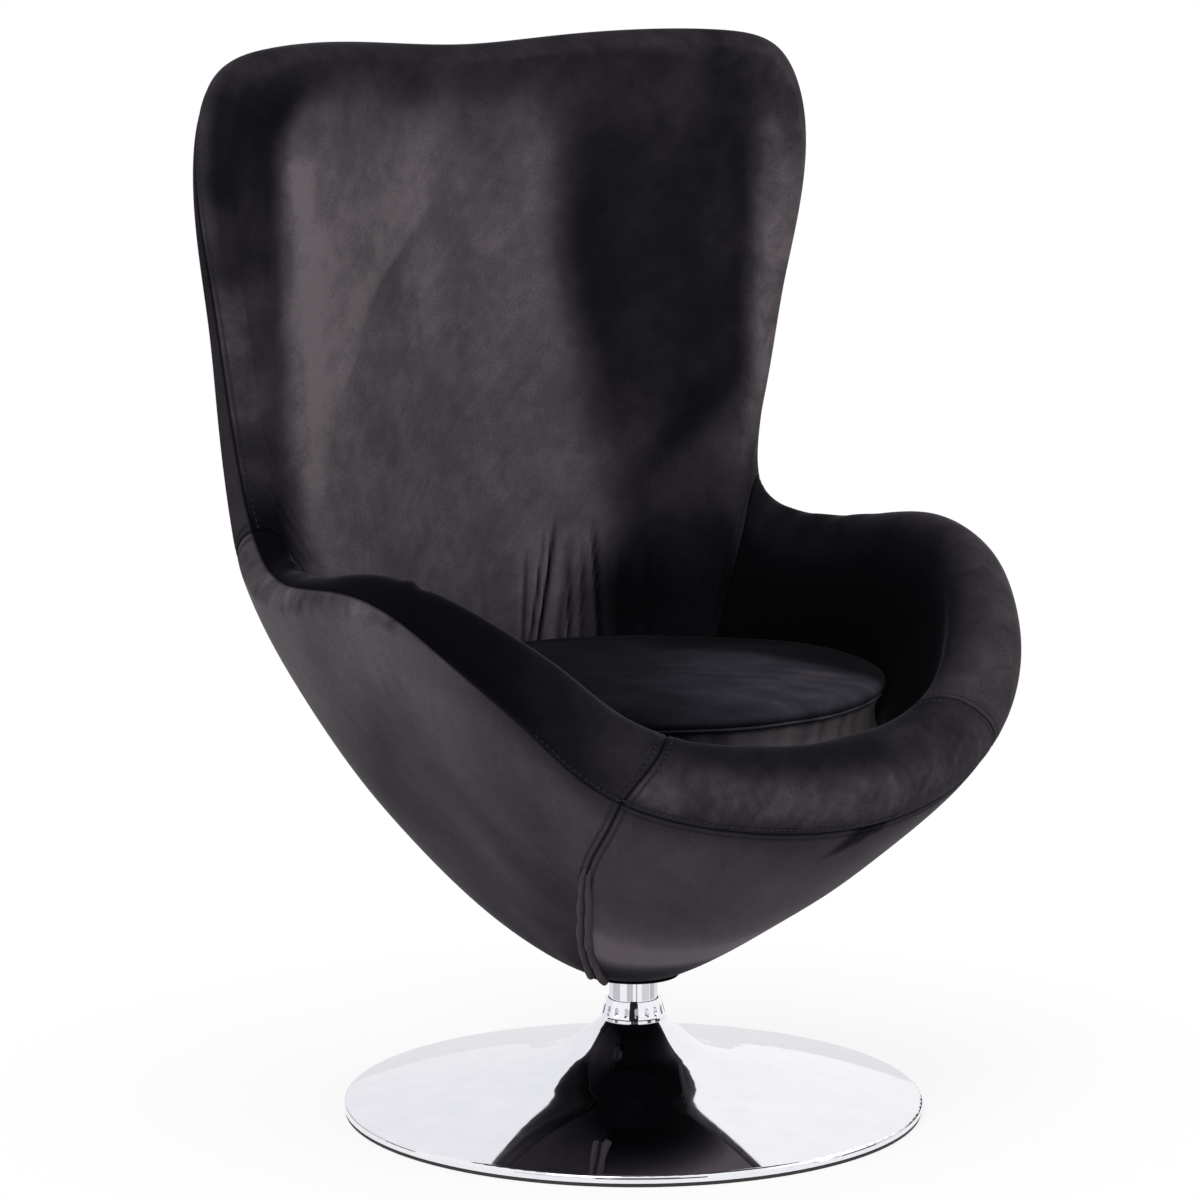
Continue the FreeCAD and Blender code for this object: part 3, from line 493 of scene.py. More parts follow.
def on_wing(place, way):
    """1 on the wings' roll, where the padding is thin, and 0 well away from it."""
    far = np.abs(folded(place))
    along = ease(far, 0.44, 0.53) * (1 - ease(far, 0.77, 0.84))
    return along * ease(way, 0.80, 1.05) * (1 - ease(way, 2.25, 2.7))


# Shares of a panel's way at its rows of points, close together where it is sewn or bends
INNER_STEPS = np.concatenate((
    0.18 * np.linspace(0, 1, 18)[:-1] ** 1.7,
    np.linspace(0.18, 0.5, 20)[:-1],
    np.linspace(0.5, 1, 92),
))
OUTER_STEPS = 1 - np.linspace(1, 0, 100) ** 1.5


def inner_ways(place):
    """Ways of an inner panel's points, from the rim's seam to the seat well."""
    seam = rim_seam(place)
    return seam + (WELL - seam) * INNER_STEPS


def outer_ways(place):
    """Ways of an outer panel's points, from the bottom ring to the rim's seam."""
    return rim_seam(place) * OUTER_STEPS


class Panel:
    """A velvet panel of the seat body: its grid of points and its distances from the seams round it.

    Seams name the edges that are sewn to a neighbour: start and end along the rim, and rim. Rows name
    those that have a row of top stitching beside them.
    """

    def __init__(self, start, end, ways, count, seams, rows):
        """Lay the grid between two places of the rim, with a number of lines that crowd at the seams."""
        place = crowded(start, end, count)[:, None]
        self.way = ways(place)
        self.place = drawn(folded(place), self.way)
        self.points = seat_skin(self.place, self.way)
        self.normal = grid_normals(self.points)
        self.u = run_lengths(self.points, 0)
        self.v = run_lengths(self.points, 1)
        rim = self.v if ways is inner_ways else self.v[:, -1:] - self.v
        away = {"start": self.u, "end": self.u[-1:] - self.u, "rim": rim}
        self.seams = [away[edge] for edge in seams]
        self.rows = [away[edge] for edge in rows]
        self.x, self.y, self.z = np.moveaxis(self.points, -1, 0)
        self.calm = np.prod([ease(distance, 0.0, 0.03) for distance in self.seams], axis=0)

    def made(self, name, node, swell, nap_and_shading, crush):
        """The panel as a closed pad in place of a node of the frame.

        Its face is the surface plus a swell that fades out at the seams, minus bell curves down into the
        seams and along the rows of stitches. Its back lies one cover deeper, and a strip joins them.
        """
        level = np.prod([1 - bump(distance, SEAM_WIDTH) for distance in self.seams], axis=0)
        # Painted shade: the tone is darkened down each seam
        light = np.prod([1 - SEAM_SHADE * bump(distance, SEAM_LINE) for distance in self.seams], axis=0)
        wing = on_wing(self.place, self.way)
        lift = PROUD * wing + swell * self.calm - SEAM_DEPTH * (1 - level) * (1 - 0.5 * wing)
        for distance in self.rows:
            row = bump(distance - STITCH_ROW, STITCH_WIDTH) * ease(level, 0.0, 0.9)
            lift = lift - STITCH_DENT * row
            # Painted shade in the dents of the rows of stitches
            light = light * (1 - 0.30 * row)
        lift = np.maximum(lift, PROUD * wing - DEEPEST * (1 - 0.5 * wing))
        front = self.points + self.normal * lift[..., None]
        back = self.points - self.normal * COVER
        rows, columns = self.x.shape
        number = np.arange(rows * columns).reshape(rows, columns)
        edge = np.concatenate((number[0, :-1], number[:-1, -1], number[-1, :0:-1], number[:0:-1, 0]))
        ahead = np.roll(edge, -1)
        strip = np.stack((edge, ahead, ahead + number.size, edge + number.size), axis=-1)
        faces = np.concatenate((grid_faces(number), grid_faces(number[:, ::-1] + number.size), strip))
        points = np.concatenate((front.reshape(-1, 3), back.reshape(-1, 3)))
        uv = np.tile(np.stack((self.u, self.v), axis=-1).reshape(-1, 2), (2, 1))
        values = {"nap_and_shading": np.tile((nap_and_shading * light).ravel(), 2), "crush": np.tile((crush + 0 * nap_and_shading).ravel(), 2)}
        piece = new_piece(name, points, faces, "seat", "velvet", VELVET, uv, **values)
        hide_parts(node)


PLEATS = (
    # X at the seat, slant, width, depth, height of its upper end
    (0.020, 0.05, 0.0034, 0.0018, 0.570),
    (0.032, 0.16, 0.0026, 0.0024, 0.580),
    (0.041, 0.17, 0.0032, 0.0042, 0.595),
    (0.060, 0.12, 0.0060, 0.0014, 0.575),
    (0.074, 0.02, 0.0028, 0.0030, 0.550),
    (0.088, 0.03, 0.0028, 0.0020, 0.565),
    (0.104, -0.03, 0.0036, 0.0036, 0.590),
    (0.124, 0.05, 0.0040, 0.0010, 0.575),
    (0.151, 0.05, 0.0046, 0.0010, 0.575),
    (-0.034, -0.03, 0.0060, 0.0006, 0.545),
    (-0.110, -0.14, 0.0090, 0.0008, 0.555),
)
PLEAT_FOOT = 0.47              # height at which a pleat's X is given
PLEAT_FADE = 0.06              # height over which a pleat runs out
WAIST_GATHERS = (
    # place along the rim, width, depth
    (0.575, 0.006, 0.0016), (0.590, 0.007, 0.0014), (0.608, 0.008, 0.0010),
)

# Tone on the inner back, lie of the pile with painted light and shade, from 0 for black to 1 for bright, and
# the X at which it changes: each curve is a row of heights and a row of tones or of X
BACK_NAP = (0.45, 0.56, 0.70, 0.88, 1.00, 1.06), (0.64, 0.78, 0.76, 0.78, 0.67, 0.58)
LONG_FOLD = (
    (0.60, 0.70, 0.784, 0.832, 0.878, 0.931, 1.0),
    (-0.24, -0.225, -0.201, -0.180, -0.127, -0.067, -0.03),
)
BRIGHT_STREAK = (0.62, 0.70, 0.80, 0.94, 1.0), (-0.268, -0.264, -0.261, -0.268, -0.274)
DARK_EDGE = (
    (0.50, 0.62, 0.66, 0.71, 0.77, 0.83, 0.90, 1.01),
    (0.100, 0.130, 0.118, 0.105, 0.098, 0.088, 0.086, 0.098),
)
DARK_NAP = (
    (0.45, 0.51, 0.57, 0.62, 0.67, 0.73, 0.85, 0.95, 1.0, 1.05),
    (0.13, 0.14, 0.23, 0.36, 0.37, 0.28, 0.24, 0.26, 0.32, 0.40),
)
NEAR_WING_NAP_AND_SHADE = (
    (0.58, 0.61, 0.63, 0.66, 0.72, 0.80, 0.85, 0.90, 0.95, 1.03, 1.08),
    (0.10, 0.12, 0.17, 0.34, 0.44, 0.47, 0.44, 0.32, 0.25, 0.21, 0.30),
)
NEAR_WING_EDGE = (
    (0.58, 0.623, 0.659, 0.731, 0.842, 0.957, 0.99, 1.017, 1.03, 1.053),
    (-0.285, -0.297, -0.302, -0.301, -0.300, -0.303, -0.303, -0.294, -0.284, -0.258),
)
FAR_WING_NAP_AND_LIGHT = (0.60, 0.65, 0.70, 0.80, 0.94, 1.02), (0.44, 0.63, 0.75, 0.79, 0.73, 0.58)
FAR_WING_EDGE = (0.64, 0.68, 0.72, 0.80, 0.91, 0.98), (0.258, 0.272, 0.283, 0.290, 0.300, 0.303)


def long_fold(z):
    """X of the long fold down the inner back at each height, and how crisp it is there, from 0 to 1."""
    return through(z, *LONG_FOLD), ease(z, 0.72, 0.80) * (1 - ease(z, 0.90, 0.96))


def back_pile(x, z, way):
    """Tone and crush of the inner back and wings: the lie of the pile with painted light and shade.

    The tone is the curve for the middle of the back, blended into those of the dark side, the wings and the
    top roll across soft edges that wander with the height.
    """
    # Middle of the back, with painted light left of the long fold, the fold's lit side, and a bright streak
    # by the near wing
    nap_and_shading = through(z, *BACK_NAP)
    fold, crisp = long_fold(z)
    reach = blend(0.045, 0.005, crisp)
    nap_and_shading += 0.12 * (1 - ease(x, fold - reach, fold + reach)) * ease(z, 0.60, 0.76)
    streak = bump(x - through(z, *BRIGHT_STREAK), 0.014)
    nap_and_shading += 0.16 * streak * ease(z, 0.60, 0.70) * (1 - ease(z, 0.96, 1.01))
    # Dark side, where a painted shadow falls as a darker band from the far wing to the seat,
    # with a paler patch under it
    shade = through(z, *DARK_EDGE) + 0.005 * waves(x, z, 54, 11.0)
    deep = through(z, *DARK_NAP)
    below = z - 0.607 - 0.883 * (x - 0.128)
    deep = blend(deep, 0.46, (1 - ease(below, -0.070, -0.010)) * ease(z, 0.56, 0.62) * ease(x, 0.16, 0.23))
    deep = blend(deep, 0.19, bump(below, 0.028) * ease(x, 0.12, 0.20))
    deep = deep * (1 + 0.10 * waves(x, z, 55, 12.0))
    nap_and_shading = blend(nap_and_shading, deep, ease(x, shade - 0.036, shade + 0.036))
    # Painted shade on the near wing, which faces away from the light, painted light on the far wing,
    # top roll in between
    near = through(z, *NEAR_WING_NAP_AND_SHADE)
    near = blend(near, 0.52, (1 - ease(way, 1.35, 1.70)) * ease(z, 0.60, 0.70))
    near = near * (1 + 0.16 * waves(x, z, 56, 17.0))
    near_edge = through(z, *NEAR_WING_EDGE) + 0.004 * waves(x, z, 57, 10.0)
    nap_and_shading = blend(nap_and_shading, near, 1 - ease(x, near_edge - 0.012, near_edge + 0.024))
    far_edge = through(z, *FAR_WING_EDGE)
    nap_and_shading = blend(nap_and_shading, through(z, *FAR_WING_NAP_AND_LIGHT), ease(x, far_edge - 0.012, far_edge + 0.030))
    top = ease(1 - np.abs(x) / 0.36, 0.0, 0.25) * ease(z, 1.0, 1.04) * (1 - ease(way, 1.98, 2.10))
    nap_and_shading = blend(nap_and_shading, 0.40, top)
    edge_patches = bump(way - 2.03, 0.05) * ease(z, 0.9, 1.02)
    nap_and_shading *= 1 - edge_patches * (0.20 + 0.14 * waves(x, z, 51, 19.0))
    nap_and_shading *= 1 + 0.05 * waves(x, z, 52, 16.0) + 0.03 * waves(x, z, 58, 60.0)
    crush = 0.45 + 0.35 * top + 0.35 * ease(np.abs(x), 0.25, 0.31) + 0.25 * ease(x, shade, shade + 0.05)
    return nap_and_shading, crush


def inner_back():
    """Inner back and wings, with a long fold, pleats drawn up from the seat and gathers at the waist.

    A pleat or gather is a bell curve across its line, beside a narrower valley.
    """
    panel = Panel(SIDE_SEAM, 2 - SIDE_SEAM, inner_ways, 380, ("start", "end", "rim"), ("rim",))
    x, z, way = panel.x, panel.z, panel.way
    nap_and_shading, crush = back_pile(x, z, way)
    inside = ease(way, 1.9, 2.2)
    fold, crisp = long_fold(z)
    swell = 0.0012 * waves(x, z, 3, 8.0) * inside
    swell += 0.0022 * bump(x - fold + 0.006, 0.010) * crisp
    for spot, slant, width, depth, upper in PLEATS:
        foot = (1 - ease(z, upper - PLEAT_FADE, upper)) * inside
        line = x - spot - slant * (z - PLEAT_FOOT)
        ridge, valley = bump(line, width), bump(line - 1.6 * width, 0.8 * width)
        swell += foot * depth * (ridge - 0.9 * valley)
        # Painted light on the pleat's ridge and painted shade in its valley
        nap_and_shading *= 1 + foot * depth * (90 * ridge - 230 * valley)
    for spot, width, depth in WAIST_GATHERS:
        line = np.abs(panel.place) - spot - 0.03 * (way - 2.1)
        gather = depth * bump(way - 2.13, 0.14)
        ridge, valley = bump(line, width), bump(line - 1.4 * width, 0.8 * width)
        swell += gather * (ridge - 0.8 * valley)
        # Painted light on the gather's ridge and painted shade in its valley
        nap_and_shading *= 1 + 60 * gather * (ridge - valley)
    panel.made("velvet_inner_back", "inner_back_cover", swell, np.clip(nap_and_shading, 0.05, 1.3), crush)


ARM_FOLDS = (
    # place along the rim, width, depth
    (0.500, 0.010, 0.0026), (0.470, 0.012, 0.0020), (0.436, 0.012, 0.0012),
)
RIGHT_ARM_PINCH = (0.326, 0.007, 0.0030)

# Tone of the left arm over its ways, its pile's lie with painted shade that blackens it in the seat, and of
# the right arm over its places
LEFT_ARM_NAP_AND_SHADE = (1.0, 1.35, 1.57, 1.75, 1.92, 2.2, 3.0), (0.60, 0.60, 0.52, 0.36, 0.24, 0.10, 0.06)
RIGHT_ARM_NAP = (
    (0.10, 0.14, 0.165, 0.20, 0.25, 0.30, 0.38, 0.46, 0.54),
    (0.38, 0.29, 0.23, 0.15, 0.10, 0.09, 0.11, 0.09, 0.09),
)
# Tone over their ways of the lip, of a side panel and of its front corner, and of the front panel: painted
# shade where the outer panels turn under to the bottom ring and, at the front, under the rim's seam, and a
# painted highlight where the front panel turns under
LIP_NAP = (
    (1.0, 1.05, 1.10, 1.17, 1.24, 1.31, 1.38, 1.45, 1.6, 2.0, 3.0),
    (0.38, 0.41, 0.48, 0.57, 0.57, 0.49, 0.34, 0.25, 0.21, 0.12, 0.08),
)
SIDE_NAP_AND_SHADE = (0.0, 0.3, 0.5, 0.7, 0.82, 0.92, 1.05, 1.3), (0.05, 0.54, 0.59, 0.63, 0.72, 0.79, 0.83, 0.78)
CORNER_NAP_AND_SHADE = (0.0, 0.28, 0.45, 0.63, 0.80, 0.90, 1.0), (0.05, 0.50, 0.49, 0.57, 0.62, 0.58, 0.40)
FRONT_NAP_AND_SHADING = (
    (0.0, 0.16, 0.27, 0.34, 0.42, 0.50, 0.62, 0.85, 0.93, 1.0),
    (0.05, 0.12, 0.66, 1.20, 0.94, 0.71, 0.62, 0.60, 0.54, 0.42),
)
BRUSH_STROKES = (
    # X at the lip, share of the nap that is lost, reach down the front panel
    (0.012, 0.55, 0.15), (0.020, 0.75, 0.13), (0.031, 0.75, 0.10), (0.044, 0.60, 0.06),
)
SIDES = (("left", 1), ("right", -1))
ALL_ROUND = ("start", "end", "rim")


def arm_span(side):
    """Places at which the panels of an arm start and end."""
    return (FRONT_SEAM, SIDE_SEAM) if side > 0 else (2 - SIDE_SEAM, 2 - FRONT_SEAM)


def inner_arm(name, side):
    """Inner arm with its roll, front seam to side seam, with black painted shade where no light comes down.
    """
    front, back = ("start", "end") if side > 0 else ("end", "start")
    panel = Panel(*arm_span(side), inner_ways, 230, (front, back, "rim"), (front, "rim"))
    way, far = panel.way, np.abs(panel.place)
    swell = 0.0011 * waves(panel.y, panel.z, 5 + side, 9.0)
    inside = ease(way, 1.9, 2.2)
    if side > 0:
        folds = ARM_FOLDS
        nap_and_shading = through(way, *LEFT_ARM_NAP_AND_SHADE)
        nap_and_shading = blend(nap_and_shading, 0.22, ease(far, 0.38, 0.47) * (1 - ease(way, 1.95, 2.2)))
    else:
        folds = (*ARM_FOLDS, RIGHT_ARM_PINCH)
        nap_and_shading = through(far, *RIGHT_ARM_NAP)
        nap_and_shading = blend(nap_and_shading, 0.08, bump(way - rim_seam(panel.place) - 0.08, 0.12) * bump(far - 0.27, 0.08))
        # Painted shade: black down inside the seat
        nap_and_shading = blend(nap_and_shading, 0.08, inside)
        nap_and_shading *= 1 + 0.12 * waves(panel.y, panel.v, 61, 16.0)
    # The rows of stitches end a short way up the arm
    panel.rows = [distance + ease(far, 0.19, 0.22) for distance in panel.rows]
    # Short folds where the roll dips into the notch below the wing, and a pinch across the right arm's roll,
    # with painted light on each ridge and painted shade in the hollow beside it
    for spot, width, depth in folds:
        line = far - spot - 0.05 * (way - 1.7)
        fold = bump(way - 1.8, 0.30) * (bump(line, width) - 0.7 * bump(line + 1.6 * width, width))
        swell += depth * fold
        nap_and_shading *= 1 + 120 * depth * fold
    crush = 0.25 + 0.65 * (1 - inside)
    panel.made("velvet_inner_arm_" + name, "inner_arm_cover_" + name, swell, nap_and_shading, crush)


def lip():
    """Front lip: a thick roll between the two front seams, crushed in patches and black along its top."""
    panel = Panel(-FRONT_SEAM, FRONT_SEAM, inner_ways, 230, ALL_ROUND, ALL_ROUND)
    way, x, v = panel.way, panel.x, panel.v
    swell = 0.0013 * waves(x, v, 8, 13.0)
    nap_and_shading = through(way, *LIP_NAP)
    nap_and_shading = blend(nap_and_shading, 0.48, 0.6 * ease(x, 0.02, 0.12) * (1 - ease(way, 1.5, 1.75)))
    nap_and_shading *= 1 + 0.07 * waves(x, v, 21, 24.0) + 0.05 * waves(x, v, 22, 90.0)
    panel.made("velvet_lip", "lip_cover", swell, np.clip(nap_and_shading, 0.05, 1.2), 1.0)


def outer_side(name, side):
    """Outer side panel, drawn tight over the shell: brightest below the arm's seam, darker down to painted
    shade.
    """
    panel = Panel(*arm_span(side), outer_ways, 190, ALL_ROUND, ("start", "end"))
    way, far, u, v = panel.way, np.abs(panel.place), panel.u, panel.v
    swell = 0.0008 * waves(u, v, 12, 6.0)
    nap_and_shading = blend(through(way, *CORNER_NAP_AND_SHADE), through(way, *SIDE_NAP_AND_SHADE), ease(far, 0.19, 0.31))
    # Painted shade of a shallow diagonal crease
    nap_and_shading -= 0.09 * bump(far - 0.385 - 0.45 * (0.75 - way), 0.035) * bump(way - 0.73, 0.16)
    nap_and_shading += 0.05 * bump(far - 0.30, 0.04) * bump(way - 0.70, 0.25)
    spots = ease(way, 1.0, 1.15) * ease(far, 0.24, 0.32)
    nap_and_shading *= 1 - spots * (0.14 + 0.10 * waves(u, v, 72, 55.0))
    nap_and_shading *= 1 + 0.04 * waves(u, v, 52, 9.0)
    panel.made("velvet_side_" + name, "side_cover_" + name, swell, nap_and_shading, 0.22 + 0.5 * spots)


def outer_front():
    """Front panel under the lip, with a painted highlight on the turn at its foot, painted shade under that
    turn and under the lip, and a few dark brush strokes by the lip.
    """
    panel = Panel(-FRONT_SEAM, FRONT_SEAM, outer_ways, 190, ALL_ROUND, ALL_ROUND)
    way, x = panel.way, panel.x
    swell = 0.0008 * waves(panel.u, panel.v, 11, 6.0)
    nap_and_shading = through(way, *FRONT_NAP_AND_SHADING)
    for spot, loss, reach in BRUSH_STROKES:
        stroke = bump(x - spot - 0.16 * (way - 0.98), 0.006) * ease(way, 1.0 - reach, 1.0 - 0.6 * reach)
        nap_and_shading *= 1 - loss * stroke
    nap_and_shading *= 1 + 0.04 * waves(panel.u, panel.v, 51, 9.0)
    panel.made("velvet_front", "front_cover", swell, nap_and_shading, 0.22)


def outer_back():
    """Outside of the back, plain velvet over the shell from the bottom ring to the rim."""
    panel = Panel(SIDE_SEAM, 2 - SIDE_SEAM, outer_ways, 300, ALL_ROUND, ("start", "end"))
    way, far = panel.way, np.abs(panel.place)
    swell = 0.0008 * waves(panel.x, panel.z, 13, 5.0)
    nap_and_shading = 0.58 + 0.10 * waves(panel.x, panel.z, 53, 3.0) - 0.14 * ease(way, 0.92, 1.1)
    # Darker along a band round place 0.62, and painted shade underneath, where the panel turns in to the ring
    nap_and_shading = blend(nap_and_shading, 0.42, bump(far - 0.62, 0.06)) * blend(0.1, 1.0, ease(way, 0.08, 0.30))
    panel.made("velvet_back", "back_cover", swell, nap_and_shading, 0.35)


inner_back()
for hand, sign in SIDES:
    inner_arm(hand, sign)
lip()
outer_front()
for hand, sign in SIDES:
    outer_side(hand, sign)
outer_back()

STITCH_LENGTH = 0.0046
STITCH_PITCH = 0.0070
THREAD_RADIUS = 0.00055
STITCH_SINK = 0.0008           # depth of the thread's middle under the plain surface
CAPSULE = (
    # share of the half length, share of the radius
    (-1.0, 0.35), (-0.78, 0.95), (0.0, 1.0), (0.78, 0.95), (1.0, 0.35),
)
HEXAGON_LIDS = ((0, 1, 2, 3), (0, 3, 4, 5))
OCTAGON_LIDS = ((0, 1, 2, 3), (0, 3, 4, 7), (7, 4, 5, 6))
SQUARE_LID = ((0, 1, 2, 3),)


def capsules(centre, along, up, length, radius):
    """Points and faces of a capsule at each centre: hexagons along a short line, closed at its ends."""
    rungs = np.array(CAPSULE)[..., None, None]
    turn = full_turn(6)[:, None]
    side = unit(np.cross(along, up))
    up = np.cross(side, along)
    round_way = np.cos(turn) * side[:, None] + np.sin(turn) * up[:, None]
    points = (
        centre[:, None, None]
        + rungs[:, 0] * along[:, None, None] * (length / 2)
        + rungs[:, 1] * round_way[:, None] * radius
    )
    one = np.arange(len(CAPSULE) * 6).reshape(-1, 6)
    first = np.arange(len(centre)) * one.size
    return points.reshape(-1, 3), (tube_faces(one, HEXAGON_LIDS) + first[:, None, None]).reshape(-1, 4)


def even_steps(points, pitch):
    """Shares of a line's run at even steps of length, half a step in from its ends."""
    run = run_lengths(points)
    stops = np.arange(pitch / 2, run[-1], pitch)
    return np.interp(stops, run, np.arange(len(points)))


def stitch_row(place, way):
    """Points and faces of a row of stitches: capsules at even steps along a line of places and ways."""
    index = even_steps(seat_skin(place, way), STITCH_PITCH)
    steps = np.arange(len(place))
    at = [np.interp(index, steps, values) for values in (place, way)]
    ahead = [np.interp(index + 0.5, steps, values) for values in (place, way)]
    centre, normal, _, _ = seat_frame(*at)
    along = unit(seat_skin(*ahead) - centre)
    rise = PROUD * on_wing(*at) - STITCH_SINK
    return capsules(centre + normal * rise[:, None], along, normal, STITCH_LENGTH, THREAD_RADIUS)


def stitching(name, lines):
    """Rows of stitches on the seat as one piece."""
    points, faces = joined([stitch_row(*line) for line in lines])
    new_piece(name, points, faces, "seat", "velvet", THREAD)


def beside(place, way, sideways, upwards):
    """The line of places and ways beside another, by lengths along the rim and along the section."""
    _, _, along, across = seat_frame(place, way)
    return place + sideways / along, way + upwards / across


ARM_STITCHES_END = 0.195       # place up to which the arm's rim seam is stitched through
SLIT_FOOT, SLIT_TOP = 0.12, 0.66  # ways between which the foot of a front seam stands open


def up_front(side, start, end):
    """A front seam's own line of places and ways."""
    way = np.linspace(start, end, 300)
    return side * front_seam(way), way


def front_seam_stitching(side):
    """Two rows beside a front seam, from the top of its slit over the lip's roll."""
    seam = up_front(side, SLIT_TOP, 1.95)
    return [beside(*seam, offset, 0) for offset in (STITCH_ROW, -STITCH_ROW)]


def back_seam_line(side):
    """Line on the outside of the back, beside a side seam."""
    way = np.linspace(0.35, 1.2, 300)
    return beside(np.full(len(way), side * SIDE_SEAM), way, side * STITCH_ROW, 0)


def rim_line(start, end, offset):
    """Line beside the rim's seam, a length along the section away from it."""
    place = np.linspace(start, end, 900)
    return beside(place, rim_seam(place), 0, offset)


stitching("stitches_front_seams", front_seam_stitching(1) + front_seam_stitching(-1))
stitching("stitches_back_seams", [back_seam_line(1), back_seam_line(-1)])
stitching("stitches_lip", [rim_line(-FRONT_SEAM, FRONT_SEAM, offset) for offset in (STITCH_ROW, -STITCH_ROW)])
stitching("stitches_rim", [
    rim_line(FRONT_SEAM, ARM_STITCHES_END, STITCH_ROW),
    rim_line(SIDE_SEAM, 2 - SIDE_SEAM, STITCH_ROW),
    rim_line(2 - ARM_STITCHES_END, 2 - FRONT_SEAM, STITCH_ROW),
])

HEM_RADIUS = 0.0042
HEM_APART = 0.0056
SLIT_GAP_SHADE_WIDE = 0.0032      # half the width of the dark ribbon painted as shade in a slit, and half its thickness
SLIT_GAP_SHADE_DEEP = 0.0006


def hem_tube(path, normal, radius):
    """Points and faces of a round hem: eight-sided rings carried along a path and closed at its ends."""
    along = unit(np.gradient(path, axis=0))
    side = unit(np.cross(along, normal))
    up = np.cross(side, along)
    turn = full_turn(8)[:, None]
    rings = radius[:, None, None] * (np.cos(turn) * side[:, None] + np.sin(turn) * up[:, None])
    number = np.arange(len(path) * 8).reshape(-1, 8)
    return (path[:, None] + rings).reshape(-1, 3), tube_faces(number, OCTAGON_LIDS)


def slit_hems(name, side):
    """Two hems that bulge apart down the open foot of a front seam to blunt ends.

    Their distance and thickness fall off upwards by the root of a cosine, and a few sines make them uneven.
    """
    place, way = up_front(side, SLIT_FOOT, SLIT_TOP + 0.02)
    share = np.linspace(0, 1, len(place))
    part = np.cos(math.pi / 2 * share ** 2) ** 0.5
    hang = 0.0012 * part + 0.0034 * (1 - ease(share, 0.0, 0.14))
    hems = []
    for edge in (1, -1):
        wander = 1 + 0.16 * np.sin(9 * share + edge) + 0.10 * np.sin(23 * share + 2 * edge)
        at = beside(place, way, edge * HEM_APART * (0.35 + 0.65 * part * wander), 0)
        path, normal, _, _ = seat_frame(*at)
        radius = HEM_RADIUS * (0.25 + 0.75 * part) * (1 + 0.12 * np.sin(31 * share + edge))
        hems.append(hem_tube(path + normal * hang[:, None], normal, radius))
    points, faces = joined(hems)
    nap_and_shading = np.full(len(points), 0.66)
    values = {"nap_and_shading": nap_and_shading, "crush": 0.4 * nap_and_shading}
    piece = new_piece("slit_hems_" + name, points, faces, "seat", "velvet", VELVET, **values)


def slit_gap_shade(name, side):
    """Painted shade between the hems of a slit: a narrow dark closed ribbon just over the seam."""
    place, way = up_front(side, SLIT_FOOT, SLIT_TOP)
    edges = []
    for edge in (1, -1):
        path, normal, _, _ = seat_frame(*beside(place, way, edge * SLIT_GAP_SHADE_WIDE, 0))
        edges += [path + normal * (SLIT_GAP_SHADE_DEEP * edge), path - normal * (SLIT_GAP_SHADE_DEEP * edge)]
    ribbon = np.stack((edges[0], edges[3], edges[2], edges[1]), axis=1)
    faces = tube_faces(np.arange(len(ribbon) * 4).reshape(-1, 4), SQUARE_LID)
    new_piece("slit_gap_shade_" + name, ribbon.reshape(-1, 3), faces, "seat", "lining", THREAD)


for hand, sign in SIDES:
    slit_hems(hand, sign)
for hand, sign in SIDES:
    slit_gap_shade(hand, sign)

# Loose cushion
CUSHION_LOW, CUSHION_HIGH = (np.array(corner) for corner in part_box("cushion_boxing"))
CUSHION_CENTRE = (CUSHION_LOW + CUSHION_HIGH) / 2 * (1, 1, 0)
CUSHION_RADIUS = (CUSHION_HIGH[0] - CUSHION_LOW[0]) / 2
LOWER_SEAM, UPPER_SEAM = CUSHION_LOW[2], CUSHION_HIGH[2]
CUSHION_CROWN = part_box("cushion_top")[1][2]
CUSHION_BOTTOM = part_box("cushion_underside")[0][2]
SIDE_DRAW = 0.0062             # how far the boxing is drawn in between its seams
CROWN_SLACK = 0.0012           # how much lower the top is cut than it stands when filled
CROWN_FLAT = 0.55              # share of the radius over which the crown is flat
SHOULDER = (0.034, 0.030)      # pole of the top's rolled edge, outside and above the upper seam
CUSHION_TURNS = 128
SIM_FRAMES = 20
TOP_RISE = 0.006               # caps on how far the filling may push the top's middle and the boxing out
SIDE_RISE = 0.0045
SEAT_DENT = 0.3                # share of the top's height that it has lost at the back, where it is sat on
TOP_CREASE = 0.0010
BOXING_RIPPLE = 0.0013
SEAM_SHADOW = 0.0042           # reach of the painted shade beside the upper seam
TOP, BOXING, UNDERSIDE = 0, 1, 2
SEEN_RIGHT = (0.804, -0.595)   # level way to the right in the camera's view


def cushion_profile():
    """Half section of the cushion as radii and heights, and each point's panel.

    The top is a cubic curve that rolls over its edge and back to the upper seam, the side is drawn in by
    half a sine between its seams, and the underside is flat but for its edge.
    """
    crown = CUSHION_CROWN - CROWN_SLACK
    poles = np.array((
        (0.0, crown),
        (CUSHION_RADIUS * CROWN_FLAT, crown),
        (CUSHION_RADIUS + SHOULDER[0], UPPER_SEAM + SHOULDER[1]),
        (CUSHION_RADIUS, UPPER_SEAM),
    ))
    top = bezier(poles, 1 - np.linspace(1, 0, 38)[1:, None] ** 1.4)
    fall = np.linspace(0, 1, 14)[1:]
    draw = SIDE_DRAW * np.sin(math.pi * fall)
    side = np.stack((CUSHION_RADIUS - draw, UPPER_SEAM + (LOWER_SEAM - UPPER_SEAM) * fall), axis=-1)
    under = np.linspace(1, 0, 20)[1:-1]
    sag = (LOWER_SEAM - CUSHION_BOTTOM) * under ** 6
    bottom = np.stack((CUSHION_RADIUS * under, CUSHION_BOTTOM + sag), axis=-1)
    panel = np.repeat((TOP, BOXING, UNDERSIDE), (len(top), len(side), len(bottom)))
    return np.concatenate((top, side, bottom)), panel


